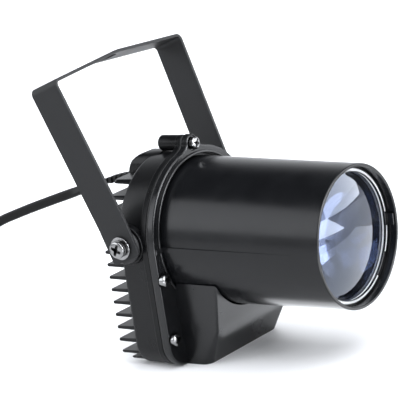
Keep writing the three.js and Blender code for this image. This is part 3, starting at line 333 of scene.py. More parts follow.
# Main sizes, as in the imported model
HOUSING = 46.2  # half its width
DRAFT = 1.9
SEAM = 13.6
REAR = 8.0
WALL = 2.4
FLOOR = 1.0  # the rear wall's inner face, behind the pivot axis
CORNER = 14.0
REAR_CORNER = 13.0
AXIS = 68.0  # of the arch
PIVOT = 72.0
TUBE = AXIS + 1.1  # the tube's axis, in the cover's hole
DROOP = math.radians(1.3)  # of the tube in front of the cover
LIP_RISE = 1.1
LIP_DEPTH = 3.6
TOP_SCREW = 50.0  # above the arch's axis
GASKET = 0.8
COVER_BACK = SEAM + GAP + GASKET + GAP
COVER_FRONT = COVER_BACK + 4.0
COVER_HALF = HOUSING + 1.4
SCREWS = {
    "top": (0.0, AXIS + TOP_SCREW),
    "right_upper": (44.0, AXIS - 16.4),
    "right_lower": (43.0, 17.1),
    "left_upper": (-44.0, AXIS - 16.4),
    "left_lower": (-43.0, 17.1),
}
SIDE_SCREWS = [place for key, place in SCREWS.items() if key != "top"]
POST = 4.0
COVER_SHANK = 1.6


def leant(thing):
    """Leans a level piece of the tube down about the middle of the cover's hole."""
    middle = row(0, COVER_FRONT, TUBE)
    turn = Matrix.Rotation(DROOP, 4, "X")
    thing.data.transform(Matrix.Translation(middle) @ turn @ Matrix.Translation(-middle))
    return thing


def draft_half(forward):
    """Half width of the drafted housing at a place ahead of the pivot axis."""
    return HOUSING - DRAFT * (SEAM - forward) / (SEAM + REAR)


ARCH_SIDES = 80
CORNER_SIDES = 12


def arch(half, corner=CORNER, base=0.0):
    """Flat base with round corners, straight sides and a half-round top."""
    foot = half - corner
    return [
        *arc(-foot, base + corner, corner, 180, 270, CORNER_SIDES),
        *arc(foot, base + corner, corner, 270, 360, CORNER_SIDES),
        *arc(0, AXIS, half, 0, 180, ARCH_SIDES),
    ]


LOBE_RADIUS = 5.0
LOBE_FOOT = 12.5
LOBE_DROP = 4.0
LOBE_SHOULDER = 1.2
LOBE_STEPS = 12


def lobed(half, lobe_inset=0.0):
    """The arch with the lobe for the top screw."""
    foot, radius, top = LOBE_FOOT - lobe_inset, LOBE_RADIUS - lobe_inset, AXIS + TOP_SCREW
    angle = math.degrees(math.acos(foot / half))
    foot_up = AXIS + half * math.sin(math.radians(angle))
    control = radius + LOBE_SHOULDER, top - LOBE_DROP + LOBE_SHOULDER
    flank = curve((foot, foot_up), control, (radius, top), LOBE_STEPS)
    corners = arch(half)[:2 * (CORNER_SIDES + 1)]
    side = arc(0, AXIS, half, 0, angle, ARCH_SIDES // 2)
    crown = arc(0, top, radius, 0, 180, 2 * LOBE_STEPS)[1:-1]
    return [*corners, *side, *flank, *crown, *mirrored(flank), *mirrored(side)]


# Rear housing
FIN_COUNT = 14
FIN_TOP = AXIS + 34.6
FIN_LOWEST = 8.1
FIN_TIP = 19.5
FIN_TIP_HALF = 0.85
FIN_ROOT_HALF = 1.25
FIN_INSET = 0.2
FIN_ROUND = 0.5
FIN_ROUND_SHARE = 0.96  # how far the rims' rounding goes before the flat faces
FIN_CORNERS = (3.0, 0.9)  # rounding of the rear corners, of the top fins and of the others
FIN_CORNER_SIDES = 8
FIN_SHARES = (-1, -0.8, -0.4, 0, 0.4, 0.8, 1)  # of a fin's half thickness, from its underside up
FOOT_FIN = (3.9, 15.0)  # height and tip
PAD_RADIUS = 11.3
PAD_FACE = HOUSING + 1.8
PAD_DEPTH = 10.0
PAD_ROUND = 0.6
PAD_SIDES = 72
PAD_BOSS = 7.0
INSERT_RADIUS = 4.0
HOOD_HALF = 9.0
HOOD_BACK = 22.9
HOOD_BOTTOM = AXIS + 25.2
HOOD_TOP = HOOD_BOTTOM + 20.7
HOOD_ROUND = 13.4
HOOD_FOOT = 1.0
HOOD_EDGE = 0.9
HOOD_CROWN = 7.5  # rounding of its top, seen from behind
HOOD_STEP = 8
CHANNEL = (7.8, 5.0, 1.0)  # the cord's way through the hood: width, height and rounding
CHANNEL_UP = HOOD_BOTTOM + 5.2
TOP_POST = (4.5, -2.6, 1.4)  # radius, rear end and rounding
LED_SEAT = (1.5, 4.3, 17)  # the LED board's screw bores: radius, depth and distance from the middle
THREAD_DEPTH = 10.6  # behind the cover's face
THREAD_GAP = 0.1


def arch_half(height, half, corner):
    """Half width of the arch outline at a height."""
    if height > AXIS:
        return math.sqrt(max(half**2 - (height - AXIS) ** 2, 0))
    if height < corner:
        return half - corner + math.sqrt(max(corner**2 - (corner - height) ** 2, 0))
    return half


def fin(height, tip):
    """A level cooling fin, tapered to its tip, its ends in line with the housing's sides."""
    half = draft_half(-REAR) - FIN_INSET
    root = -FLOOR - WALL
    plan_corner = FIN_CORNERS[0] if height > HOOD_BOTTOM else FIN_CORNERS[1]
    rings = []
    for share in FIN_SHARES:
        drawn = FIN_ROUND * (1 - math.sqrt(1 - FIN_ROUND_SHARE * share**2))
        corner = plan_corner - drawn
        ring = []
        for side, start in ((1, 0), (-1, 90)):
            for u, v in arc(0, 0, corner, start, start + 90, FIN_CORNER_SIDES):
                along = drawn + corner - v - tip
                thick = FIN_TIP_HALF + (FIN_ROOT_HALF - FIN_TIP_HALF) * (along + tip) / (root + tip)
                up = height + share * thick
                reach = arch_half(up, half, REAR_CORNER) - drawn - corner
                ring.append((side * reach + u, along, up))
        up = height + share * FIN_ROOT_HALF
        reach = arch_half(up, half, REAR_CORNER) - drawn
        ring += [(-reach, root, up), (reach, root, up)]
        rings.append(ring)
    return loft(rings)


def hood():
    """A round block high on the housing's rear, where the cord comes out."""
    outline = rounded([
        (-HOOD_BACK, HOOD_BOTTOM, HOOD_FOOT), (-FLOOR, HOOD_BOTTOM), (-FLOOR, HOOD_TOP),
        (-HOOD_BACK, HOOD_TOP, HOOD_ROUND),
    ], step=HOOD_STEP)
    crown = rounded([
        (-HOOD_HALF, HOOD_BOTTOM), (HOOD_HALF, HOOD_BOTTOM), (HOOD_HALF, HOOD_TOP, HOOD_CROWN),
        (-HOOD_HALF, HOOD_TOP, HOOD_CROWN),
    ], step=HOOD_STEP)
    return common(slab(outline, -HOOD_HALF, HOOD_HALF, "x", HOOD_EDGE, HOOD_EDGE),
                  slab(crown, -HOOD_BACK - OVER, 0))


REAR_ROUND = 1.4
SHELL_STEPS = 5
LIP_ROUND = 0.45
LIP_EDGE = 0.2
LIP_INSET = 0.4  # of the lip's lobe inside the cover's


def ringed(outline, forward):
    """An outline in right and up as a ring of points at a forward place."""
    return [(x, forward, z) for x, z in outline]


def housing_shell():
    """The housing's outside, which widens from its round-edged rear wall to the seam."""
    start = arch(draft_half(-REAR), REAR_CORNER)
    end = arch(draft_half(SEAM))
    rings = []
    for along, inset in edge_levels(0, SEAM, REAR_ROUND, 0, SHELL_STEPS)[:-SHELL_STEPS]:
        share = along / SEAM
        ring = [(x0 + (x1 - x0) * share, z0 + (z1 - z0) * share)
                for (x0, z0), (x1, z1) in zip(inward(start, inset), inward(end, inset))]
        rings.append(ringed(ring, -REAR + along * (SEAM + REAR) / SEAM))
    return loft(rings)


def rear_housing():
    shell = housing_shell()
    rim = slab(lobed(HOUSING + LIP_RISE, LIP_INSET), SEAM - LIP_DEPTH, SEAM, "y", LIP_ROUND, LIP_EDGE)
    radius, back, corner = TOP_POST
    profile = rounded([(0, back), (radius, back, corner), (radius, SEAM), (0, SEAM)], closed=False)
    top = turned(profile, SCREWS["top"], sides=ROD_SIDES)
    pads = both(lambda side: rod(
        PAD_RADIUS, *span(side, HOUSING - WALL, PAD_FACE), (0, PIVOT), "x", PAD_SIDES,
        PAD_ROUND * (side < 0), PAD_ROUND * (side > 0)))
    pitch = (FIN_TOP - FIN_LOWEST) / (FIN_COUNT - 1)
    fins = [fin(FIN_TOP - pitch * i, FIN_TIP) for i in range(FIN_COUNT)]
    body = joined(shell, rim, top, hood(), *pads, *fins, fin(*FOOT_FIN))
    cut(body, loft([ringed(arch(draft_half(y) - WALL, CORNER - WALL, WALL), y)
                    for y in (-FLOOR, SEAM + OVER)]))
    envelope = loft([ringed(arch(draft_half(y) - OVER / 2), y) for y in (-FLOOR - OVER, SEAM)])
    posts = [rod(POST, -FLOOR - OVER, SEAM, place) for place in SIDE_SCREWS]
    deep = PAD_FACE - PAD_DEPTH
    sockets = both(lambda side: rod(PAD_BOSS, *span(side, deep, HOUSING), (0, PIVOT), "x"))
    joined(body, common(joined(*posts, *sockets), envelope))
    threads = [rod(COVER_SHANK + THREAD_GAP, COVER_FRONT - THREAD_DEPTH, SEAM + OVER, place, sides=BORE_SIDES)
               for place in SCREWS.values()]
    bores = both(lambda side: rod(
        INSERT_RADIUS + GAP, *span(side, deep - OVER, PAD_FACE + OVER), (0, PIVOT), "x"))
    radius, depth, out = LED_SEAT
    seats = both(lambda side: rod(radius, -FLOOR - depth, OVER, (side * out, AXIS), sides=BORE_SIDES))
    w, h = CHANNEL[0] / 2, CHANNEL[1] / 2
    way = slab(box(-w, CHANNEL_UP - h, w, CHANNEL_UP + h, CHANNEL[2]), -HOOD_BACK - OVER, OVER)
    return cut(body, *threads, *bores, *seats, way)


# Cover gasket
GASKET_RISE = 0.9


def cover_gasket():
    """A thin ring between the housing and the cover."""
    back, front = SEAM + GAP, SEAM + GAP + GASKET
    body = slab(lobed(HOUSING + GASKET_RISE, LIP_INSET), back, front)
    edge = HOUSING - WALL
    cut(body, slab(arch(edge, CORNER - WALL, WALL), back - OVER, front + OVER))
    return cut(body, *[rod(COVER_SHANK + GAP, back - OVER, front + OVER, place, sides=BORE_SIDES)
                       for place in SCREWS.values()])


# Front cover
COMPARTMENT = [  # half width, front, corner radius and height of the block's levels
    (HOUSING - 12.7, 33.5, 5.0, 0.0),
    (HOUSING - 11.4, 43.9, 1.2, 20.5),
    (HOUSING - 10.5, 49.1, 1.2, AXIS - 14.6),
]
BLOCK_SIDES = 10  # of its corners
BARREL_ROOT = 40.5  # and at the cover
BARREL = 39.5  # radius at its front
COVER_HOLE = BARREL_ROOT + 1.5
COVER_SIDES = 160  # of the shapes round the barrel
COLLAR_WIDTH = 1.6
COLLAR_RISE = 1.0
COLLAR_ROUND = 0.5
COLLAR_EDGE = 0.4
PROUD = 0.8
SADDLE = BARREL_ROOT + PROUD + GAP
ROOF = 2.2
PARTING = TUBE + 0.6
BRIDGE_HEIGHT = 2.9
BRIDGE_GAP = 0.35
BRIDGE_INSET = 0.4
BRIDGE_ROUND = 0.5
HEAD_RADIUS = 3.5
RECESS = 0.6
RECESS_GAP = 0.7
FLANGE_ROUND = 0.8
BOARD_SCREW = (22.0, 24.0)  # right and forward
BOARD_POST = (3.0, 1.5, 6.0)  # radius, bore and height
BOARD_POST_SIDES = 32


def compartment(inset, back, base=0.0):
    """The driver's block below the barrel, drawn in by an inset, ahead of and above given places."""
    rings = []
    for half, front, radius, height in COMPARTMENT:
        half, front = half - inset, front - inset
        corner = max(radius - inset, GAP)
        plan = [
            (half, back),
            *arc(half - corner, front - corner, corner, 0, 90, BLOCK_SIDES),
            *arc(-half + corner, front - corner, corner, 90, 180, BLOCK_SIDES),
            (-half, back),
        ]
        rings.append([(x, y, max(height, base)) for x, y in plan])
    return loft(rings)


def screw_seat(place):
    """What a cover screw's shank and head need cut out of the cover."""
    shank, head = COVER_SHANK + GAP, HEAD_RADIUS + RECESS_GAP
    return spindle([
        (shank, COVER_BACK - OVER), (shank, COVER_FRONT - RECESS), (head, COVER_FRONT - RECESS),
        (head, COVER_FRONT - FINE_EDGE), (head + FINE_EDGE, COVER_FRONT),
        (head + FINE_EDGE, COVER_FRONT + OVER),
    ], place)


def front_cover():
    front = COVER_FRONT + COLLAR_RISE
    flange = slab(lobed(COVER_HALF), COVER_BACK, COVER_FRONT, "y", EDGE, FLANGE_ROUND)
    collar = rod(COVER_HOLE + COLLAR_WIDTH, COVER_BACK, front, (0, TUBE), sides=COVER_SIDES,
                 high_round=COLLAR_ROUND)
    body = joined(flange, collar, compartment(0, COVER_BACK))
    mouth = spindle([
        (COVER_HOLE, COVER_BACK - OVER), (COVER_HOLE, front - COLLAR_EDGE),
        (COVER_HOLE + COLLAR_EDGE, front), (COVER_HOLE + COLLAR_EDGE, front + OVER),
    ], (0, TUBE), sides=COVER_SIDES)
    end = COMPARTMENT[-1][1] + 2 * OVER
    saddle = leant(rod(SADDLE, COVER_FRONT, end, (0, TUBE), sides=COVER_SIDES))
    roof = leant(rod(SADDLE + ROOF, COVER_BACK - 2 * OVER, end, (0, TUBE), sides=COVER_SIDES))
    cut(body, mouth, saddle, *[screw_seat(place) for place in SCREWS.values()])
    cut(body, cut(compartment(WALL, COVER_BACK - OVER, WALL), roof))
    bridges = []
    for side in (1, -1):
        inner, outer = span(side, BARREL_ROOT + PROUD + BRIDGE_GAP, COVER_HALF - BRIDGE_INSET)
        outline = rounded([(inner, COVER_BACK), (outer, COVER_BACK), (outer, front, BRIDGE_ROUND),
                           (inner, front, EDGE)])
        bridges.append(slab(outline, PARTING - BRIDGE_HEIGHT, PARTING, "z", EDGE, EDGE))
    radius, bore, height = BOARD_POST
    right, forward = BOARD_SCREW
    posts = both(lambda side: rod(
        radius, WALL / 2, height - GAP, (side * right, forward), "z", BOARD_POST_SIDES))
    joined(body, *bridges, *posts)
    return cut(body, *both(lambda side: rod(bore, WALL, height, (side * right, forward), "z", BORE_SIDES)))


# Lens barrel
BARREL_FRONT = 121.5
COLLAR_FRONT = COVER_BACK - GAP
COLLAR_DEPTH = 3.2
COLLAR_BACK = COLLAR_FRONT - COLLAR_DEPTH
COLLAR_RADIUS = HOUSING - WALL - 2 * GAP
COLLAR_RIM = 0.4
TUBE_BACK = COLLAR_FRONT - COLLAR_DEPTH / 2
PROUD_END = 108.0
LEDGE_PROUD = 0.5  # the strip along the parting stands out this much more
LEDGE_DROP = 0.1
MOUTH_ROUND = 0.6
LENS_SEAT = 110.0
SEAT_BACK = LENS_SEAT - 4.0
LENS_BORE = BARREL - 1.9
SEAT_INNER = LENS_BORE - 2.4
BARREL_SIDES = 192


def lower_half(proud, bottom, top):
    """A part of the tube's prouder lower half, between two heights."""
    end = BARREL + ((BARREL_ROOT - BARREL) * (BARREL_FRONT - PROUD_END)
                           / (BARREL_FRONT - TUBE_BACK))
    whole = spindle([(BARREL_ROOT + proud, TUBE_BACK), (end, PROUD_END)], (0, TUBE), sides=BARREL_SIDES)
    part = box(-COLLAR_RADIUS, bottom, COLLAR_RADIUS, top)
    return common(whole, slab(part, COLLAR_BACK, BARREL_FRONT))


def lens_barrel():
    collar = rod(
        COLLAR_RADIUS, COLLAR_BACK, COLLAR_FRONT, (0, AXIS), "y", BARREL_SIDES, COLLAR_RIM, COLLAR_RIM)
    cut(collar, *[rod(POST + GAP, COLLAR_BACK - OVER, COLLAR_FRONT + OVER, place) for place in SIDE_SCREWS])
    tube = spindle(rounded([
        (BARREL_ROOT, TUBE_BACK), (BARREL, BARREL_FRONT, MOUTH_ROUND),
        (LENS_BORE - OVER, BARREL_FRONT),
    ], closed=False), (0, TUBE), sides=BARREL_SIDES)
    joined(tube, lower_half(PROUD, TUBE - COLLAR_RADIUS, PARTING),
           lower_half(PROUD + LEDGE_PROUD, PARTING - BRIDGE_HEIGHT, PARTING - LEDGE_DROP))
    inner = BARREL - WALL
    bore = spindle([
        (inner, COLLAR_BACK - 2 * OVER), (inner, SEAT_BACK), (SEAT_INNER, SEAT_BACK),
        (SEAT_INNER, LENS_SEAT), (LENS_BORE, LENS_SEAT), (LENS_BORE, BARREL_FRONT - EDGE),
        (LENS_BORE + EDGE, BARREL_FRONT), (LENS_BORE + EDGE, BARREL_FRONT + OVER),
    ], (0, TUBE), sides=BARREL_SIDES)
    return cut(joined(collar, leant(tube)), leant(bore))


# Lens, gasket and retaining ring
LENS_RADIUS = LENS_BORE - GAP
LENS_BACK = LENS_SEAT + GAP
LENS_SHOULDER = LENS_BACK + 3.3
LENS_SAG = 5.6
LENS_SIDES = 128
DOME_STEPS = 20
RING_WIDTH = 2.6
RING_SIDES = 144
RING_INNER = LENS_BORE - GAP - RING_WIDTH
GASKET_BACK = LENS_SHOULDER + GAP
GASKET_BASE = 0.8
RING_BACK = GASKET_BACK + GASKET_BASE + GAP
RING_FRONT = RING_BACK + 1.5
SLOT_RADIUS = RING_INNER + 1.1
SLOT_WIDTH = 1.7
SLOT_ARCS = [(4.5, 158), (-30.6, -6), (-188, -52)]  # degrees from the left side, seen from behind
ARC_STEP = 2  # degrees
TAB_ARC = (-6.2, 4)
TAB_HEIGHT = 4.1
TAB_DEEP = 1.1
BEAD_WIDTH = 1.4
BEAD_HEIGHT = 1.2
BEAD_SHORT = 1  # degrees at each end of its slot


def dome(edge_radius, edge, sag):
    """Radii and places of a dome from its edge to its middle."""
    sphere = (edge_radius**2 + sag**2) / (2 * abs(sag))
    points = []
    for i in range(DOME_STEPS + 1):
        r = edge_radius * (1 - i / DOME_STEPS)
        rise = math.sqrt(sphere**2 - r**2) - math.sqrt(sphere**2 - edge_radius**2)
        points.append((r, edge + math.copysign(rise, sag)))
    return points


def main_lens():
    back = list(reversed(dome(SEAT_INNER - GAP, LENS_BACK, -LENS_SAG)))
    front = dome(RING_INNER, LENS_SHOULDER, LENS_SAG)
    profile = [*back, (LENS_RADIUS, LENS_BACK), (LENS_RADIUS, LENS_SHOULDER), *front]
    return turned(profile, (0, TUBE), sides=LENS_SIDES)


def arc_block(inner, outer, start, end, low, high, round_edge=0.0):
    """A part of a ring about the tube's axis, between two angles in degrees."""
    sides = math.ceil((end - start) / ARC_STEP)
    outline = [*arc(0, TUBE, outer, start, end, sides), *arc(0, TUBE, inner, end, start, sides)]
    return slab(mirrored(outline), low, high, high_round=round_edge)


def lens_gasket():
    ring = box(RING_INNER + GAP, GASKET_BACK, LENS_BORE - GAP, GASKET_BACK + GASKET_BASE)
    body = turned(ring, (0, TUBE), sides=RING_SIDES)
    half = BEAD_WIDTH / 2
    high = GASKET_BACK + GASKET_BASE + GAP + BEAD_HEIGHT
    return joined(body, *[
        arc_block(SLOT_RADIUS - half, SLOT_RADIUS + half, start + BEAD_SHORT, end - BEAD_SHORT, GASKET_BACK,
                  high, EDGE) for start, end in SLOT_ARCS])


def lens_retaining_ring():
    outer = LENS_BORE - GAP
    ring = box(RING_INNER, RING_BACK, outer, RING_FRONT, FINE_EDGE)
    body = turned(ring, (0, TUBE), sides=RING_SIDES)
    half = SLOT_WIDTH / 2
    cut(body, *[arc_block(SLOT_RADIUS - half, SLOT_RADIUS + half, *ends, RING_BACK - OVER, RING_FRONT + OVER)
                for ends in SLOT_ARCS])
    tab = arc_block(outer - TAB_DEEP, outer - GAP / 2, *TAB_ARC, RING_BACK, RING_FRONT + TAB_HEIGHT, EDGE)
    return joined(body, tab)


# Yoke
STRAP = 1.8
STRAP_WIDTH = 20.0
FRICTION = (9.8, 1.7)  # the friction washers' radius and thickness
ARM_INNER = PAD_FACE + GAP + FRICTION[1] + GAP
ARM_OUTER = ARM_INNER + STRAP
ARM_LENGTH = 98.8
ARM_SPREAD = 5.8
ARM_STRAIGHT = 14.0
TAIL = 7.6
TAIL_ROUND = 2.2
PEAK = 3.8
BEND = 4.0
BAR_BEND = 30.0
ARM_BEND = 60.0
YOKE_HOLE = 6.5
TILT = math.radians(19.4)
STRAP_STEP = 7.5
SECTION_STEP = 30
TAIL_SHARES = (0, 0.05, 0.15, 0.3, 0.5, 0.75, 1)
PIVOT_HOLE = 2.8


def strap_line():
    """The strap's middle line, right and along the arms, from one tail over the bar to the other."""
    mid = STRAP / 2
    top = ARM_OUTER + ARM_SPREAD - mid
    rise = PEAK * (1 - mid / top)
    half = rounded([
        (ARM_OUTER - mid, -TAIL), (ARM_OUTER - mid, ARM_STRAIGHT, ARM_BEND),
        (top, ARM_LENGTH - mid, BEND - mid), (0, ARM_LENGTH + rise - mid, BAR_BEND),
        (-top, ARM_LENGTH - mid),
    ], closed=False, step=STRAP_STEP)
    right = [p for p in half if p[0] > 0 and p[1] > -TAIL]
    tail = [(ARM_OUTER - mid, -TAIL + TAIL_ROUND * share) for share in TAIL_SHARES]
    return [*tail, *right, *mirrored(tail + right)]


def yoke():
    line = strap_line()
    rings = []
    for i, (x, z) in enumerate(line):
        before, after = line[max(i - 1, 0)], line[min(i + 1, len(line) - 1)]
        way = Vector((after[0] - before[0], after[1] - before[1])).normalized()
        out = Vector((way.y, -way.x))
        from_end = min(abs(z + TAIL), TAIL_ROUND) if z < 0 else TAIL_ROUND
        drawn = TAIL_ROUND - math.sqrt(TAIL_ROUND**2 - (TAIL_ROUND - from_end) ** 2)
        half, flat = STRAP_WIDTH / 2 - drawn, STRAP / 2
        section = box(-half, -flat, half, flat, FINE_EDGE, SECTION_STEP)
        rings.append([tilted(x + out.x * v, u, z + out.y * v) for u, v in section])
    strap = loft(rings)
    holes = both(lambda side: tilted_rod(PIVOT_HOLE, *span(side, ARM_INNER - BEND, ARM_OUTER + BEND), "x"))
    bolt = tilted_rod(YOKE_HOLE, ARM_LENGTH - STRAP - OVER, ARM_LENGTH + PEAK + OVER, "z")
    return cut(strap, *holes, bolt)


def tilted(across, forward, along):
    """A point of the yoke, given across, forward and along its arms, in the lamp's frame."""
    cos, sin = math.cos(TILT), math.sin(TILT)
    return across, forward * cos - along * sin, PIVOT + forward * sin + along * cos


def tilted_rod(radius, low, high, axis):
    """A rod through the yoke, given in the yoke's own directions."""
    ring = arc(0, 0, radius, 0, 360, HEAD_SIDES)[:-1]
    return loft([[tilted(*PLANES[axis](u, v, along)) for u, v in ring] for along in (low, high)])


# Screws and washers
SCREW_SHARES = {
    "edge": 0.7,  # height of the head's upright edge
    "arm": 0.72,  # reach of the cross recess
    "slot": 0.15,  # half the width of its slots
    "floor": 0.15,  # bottom of the recess
    "above": 1.15,  # size of its cutter above the head
    "bottom": 0.62,  # its size at the bottom
    "even": 0.4,  # of the slots' width, that doesn't narrow
    "heart": 1.5,  # corners between the slots, of their width
}
CROWN_STEPS = 8
CROWN_POWER = 0.55  # below one flattens the top
SCREW_EDGE = 0.15


def cross_recess(head, height):
    """The four-armed recess in a screw's head, which narrows to its bottom."""
    shares = SCREW_SHARES
    even = shares["even"]
    rings = []
    for depth, scale in ((height + OVER, shares["above"]), (height, 1),
                         (shares["floor"] * height, shares["bottom"])):
        a = shares["arm"] * head * scale
        b = shares["slot"] * head * (even + (1 - even) * scale)
        c = shares["heart"] * b
        quarter = [(a, -b), (a, b), (c, c)]
        outline = []
        for turn in range(4):
            cos, sin = math.cos(math.pi / 2 * turn), math.sin(math.pi / 2 * turn)
            outline += [(x * cos - z * sin, x * sin + z * cos) for x, z in quarter]
        rings.append(ringed(outline, depth))
    return loft(rings)


def cross_screw(head, height, shank, length):
    """A domed screw with a cross recess along the forward axis, its seat at zero."""
    edge = SCREW_SHARES["edge"]
    crown = []
    for i in range(CROWN_STEPS + 1):
        turn = math.pi / 2 * i / CROWN_STEPS
        crown.append((head * math.cos(turn) ** CROWN_POWER, height * (edge + (1 - edge) * math.sin(turn))))
    crown[-1] = (0, height)
    body = turned([
        (0, -length), (shank - 2 * SCREW_EDGE, -length), (shank, 2 * SCREW_EDGE - length), (shank, 0),
        (head - SCREW_EDGE, 0), (head, SCREW_EDGE), *crown,
    ], (0, 0), sides=HEAD_SIDES)
    return cut(body, cross_recess(head, height))


SCREW_TURNS = {"top": 20, "right_upper": 35, "right_lower": 62, "left_upper": 10, "left_lower": 50}
COVER_HEAD = 3.6
COVER_SCREW_LENGTH = 9.8
WASHER = (6.5, 1.2)  # radius and thickness
HOLE_EDGE = 0.2
PIVOT_HEAD = (4.8, 3.4)  # radius and height
PIVOT_SHANK = 2.5
PIVOT_SHORT = 1  # of the bore's end
PIVOT_TURN = 25  # degrees, of the cross recess


def cover_screws():
    for key, (x, z) in SCREWS.items():
        screw = cross_screw(HEAD_RADIUS, COVER_HEAD, COVER_SHANK, COVER_SCREW_LENGTH)
        moved(screw, spin(SCREW_TURNS[key], "Y"), x, COVER_FRONT - RECESS + GAP, z)
        finished(screw, f"cover_screw_{key}", "nickel")


def pivot_ring(side, radius, low, high):
    """A washer on a pivot, between two distances from the middle plane."""
    ring = turned(rounded([(PIVOT_HOLE, low, HOLE_EDGE), (radius, low, EDGE), (radius, high, EDGE),
                           (PIVOT_HOLE, high, HOLE_EDGE)]), (0, PIVOT), "x", PAD_SIDES)
    if side < 0:
        ring.data.transform(Matrix.Scale(-1, 4, (1, 0, 0)))
        ring.data.flip_normals()
    return ring


def pivots():
    outer = ARM_OUTER + GAP
    washers = (
        ("friction_washer", FRICTION, PAD_FACE + GAP, "rubber"),
        ("pivot_washer", WASHER, outer, "nickel"),
    )
    seat = outer + WASHER[1] + GAP
    for name, side in SIDES:
        for kind, (radius, thick), inner, slot in washers:
            finished(pivot_ring(side, radius, inner, inner + thick), f"{kind}_{name}", slot)
        screw = cross_screw(*PIVOT_HEAD, PIVOT_SHANK, seat - PAD_FACE + PAD_DEPTH - PIVOT_SHORT)
        moved(screw, spin(-90 * side, "Z") @ spin(PIVOT_TURN, "Y"), side * seat, 0, PIVOT)
        finished(screw, f"pivot_screw_{name}", "nickel")


# Strain relief, where the cord leaves the hood
RELIEF_UP = 98.4
RELIEF_STEM = (7.2, 4.4, -1.3)  # width, height and front end
RELIEF_BACK = -23.2
RELIEF_LENGTH = 21.0
RELIEF_SAG = 2.7
RELIEF_ROOT = (9.0, 5.2)
RELIEF_TIP = (6.8, 4.0)
RELIEF_RIBS = 6
RELIEF_STEP = 18
RELIEF_ROUND_SHARE = 0.6  # of half its height
RIB_SHARES = (  # along a rib, and how much of the sleeve's width and height is there
    (0, 0.9), (0.08, 1), (0.5, 1), (0.58, 0.9), (0.64, 0.78), (0.94, 0.78),
)


def relief_ring(width, height, along, up):
    w, h = width / 2, height / 2
    plan = box(-w, -h, w, h, RELIEF_ROUND_SHARE * h, RELIEF_STEP)
    return [(u, along, up + v) for u, v in plan]


def strain_relief():
    """A ribbed sleeve that bends down with the cord, on a plain stem through the hood."""
    width, height, stem_end = RELIEF_STEM
    rings = [relief_ring(width, height, along, RELIEF_UP) for along in (stem_end, RELIEF_BACK)]
    for rib in range(RELIEF_RIBS):
        for place, scale in RIB_SHARES:
            share = (rib + place) / RELIEF_RIBS
            wide, high = ((root + (tip - root) * share) * scale for root, tip in zip(RELIEF_ROOT, RELIEF_TIP))
            along, up = RELIEF_BACK - RELIEF_LENGTH * share, RELIEF_UP - RELIEF_SAG * share**2
            rings.append(relief_ring(wide, high, along, up))
    return loft(rings)


# Cord: the free stretch behind the lamp, then the coil beside it
CORD_WIDTH = 5.8
CORD_THICKNESS = 3.4
CORD_SIDES = 24
CORD_TWIST = (52, 82)  # behind the pivot axis, where it turns from flat onto its edge
CORD_ROUTE = [
    (0, -44.9, 95.6), (0, -50, 94.2), (0, -60, 91.4), (0, -72, 88), (0.1, -84, 84.6), (0.1, -97, 80.8),
    (0.2, -110, 76.9), (0.3, -122.5, 72.9), (0.5, -133, 69.3), (0.7, -144, 64.2), (0.9, -154, 57.2),
    (1.2, -163, 48.2), (1.5, -171.5, 38), (1.8, -180, 27.6), (2.1, -189, 18), (2.4, -198.5, 10.6),
    (2.7, -208.5, 6), (2.9, -217.5, 4.3), (3, -225.7, 4.1),
]
PATH_STEPS = 3
COIL_CENTRE = (40, -232)
COIL_TURNS = 6.5
COIL_OUTER = 37
COIL_PITCH = 4.4
COIL_STEPS = 36
COIL_SOFT = 0.1
COIL_CLIMB = 0.5
TIE_THICKNESS = 0.9
TIE_WIDTH = 8.0
TIE_SIDE = 0.8
TIE_TURNS = 0.75
TIE_ROUND = 2.2
COIL_BASE = TIE_THICKNESS + GAP + CORD_WIDTH / 2
COIL_RISE = CORD_WIDTH + 0.6
COIL_LEAD_OUT = 24
LEAD_SHARES = (0.2, 0.4, 0.6, 0.8, 1)
SINK_SHARES = (0.2, 0.95)  # of the last stretch, where it sinks to the plug's middle
PLUG_LENGTH = 34.0
PLUG_FACE = 26.0
PLUG_ROOT = 9.0
PLUG_SHOULDER = 13.6
PLUG_HEIGHT = 10.4
PLUG_NOSE = 4.0
PLUG_CORNER = 1.6
PLUG_BENDS = (4, 5)  # rounding at the end of its nose and at its shoulder
PLUG_RIMS = (0.9, 1.4)  # rounding of its lower and upper rims
PLUG_GRIPS = 4
GRIP_START = 3
GRIP_PITCH = 2.6
GRIP_DEPTH = 0.5
PIN_RADIUS = 2.0
PIN_LENGTH = 19.0
PIN_SPACING = 18.6
PIN_ROUNDS = (0.2, 1.4)  # of its inner end and its tip


def smoothstep(value, low, high):
    """A share that rises smoothly from 0 to 1 between two values."""
    share = min(max((value - low) / (high - low), 0.0), 1.0)
    return share * share * (3 - 2 * share)


def coil_point(turns):
    """Middle of the wound cord after some turns: it spirals in, climbs a layer and spirals out."""
    middle = COIL_TURNS / 2
    away = math.hypot(turns - middle, COIL_SOFT) - COIL_SOFT
    full = math.hypot(middle, COIL_SOFT) - COIL_SOFT
    radius = COIL_OUTER - COIL_PITCH * (full - away)
    climbed = smoothstep(turns, middle - COIL_CLIMB / 2, middle + COIL_CLIMB / 2)
    angle = math.pi + 2 * math.pi * turns
    x, y = COIL_CENTRE
    return x + radius * math.cos(angle), y + radius * math.sin(angle), COIL_BASE + COIL_RISE * climbed


def spline(points, steps):
    """Points of a smooth curve through given ones, with so many steps between neighbours."""
    knots = [Vector(p) for p in points]
    ends = [2 * knots[0] - knots[1], *knots, 2 * knots[-1] - knots[-2]]
    made = []
    for a, b, c, d in zip(ends, ends[1:], ends[2:], ends[3:]):
        for i in range(steps):
            t = i / steps
            made.append(0.5 * (2 * b + (c - a) * t + (2 * a - 5 * b + 4 * c - d) * t**2
                               + (3 * b - a - 3 * c + d) * t**3))
    return [*made, knots[-1]]


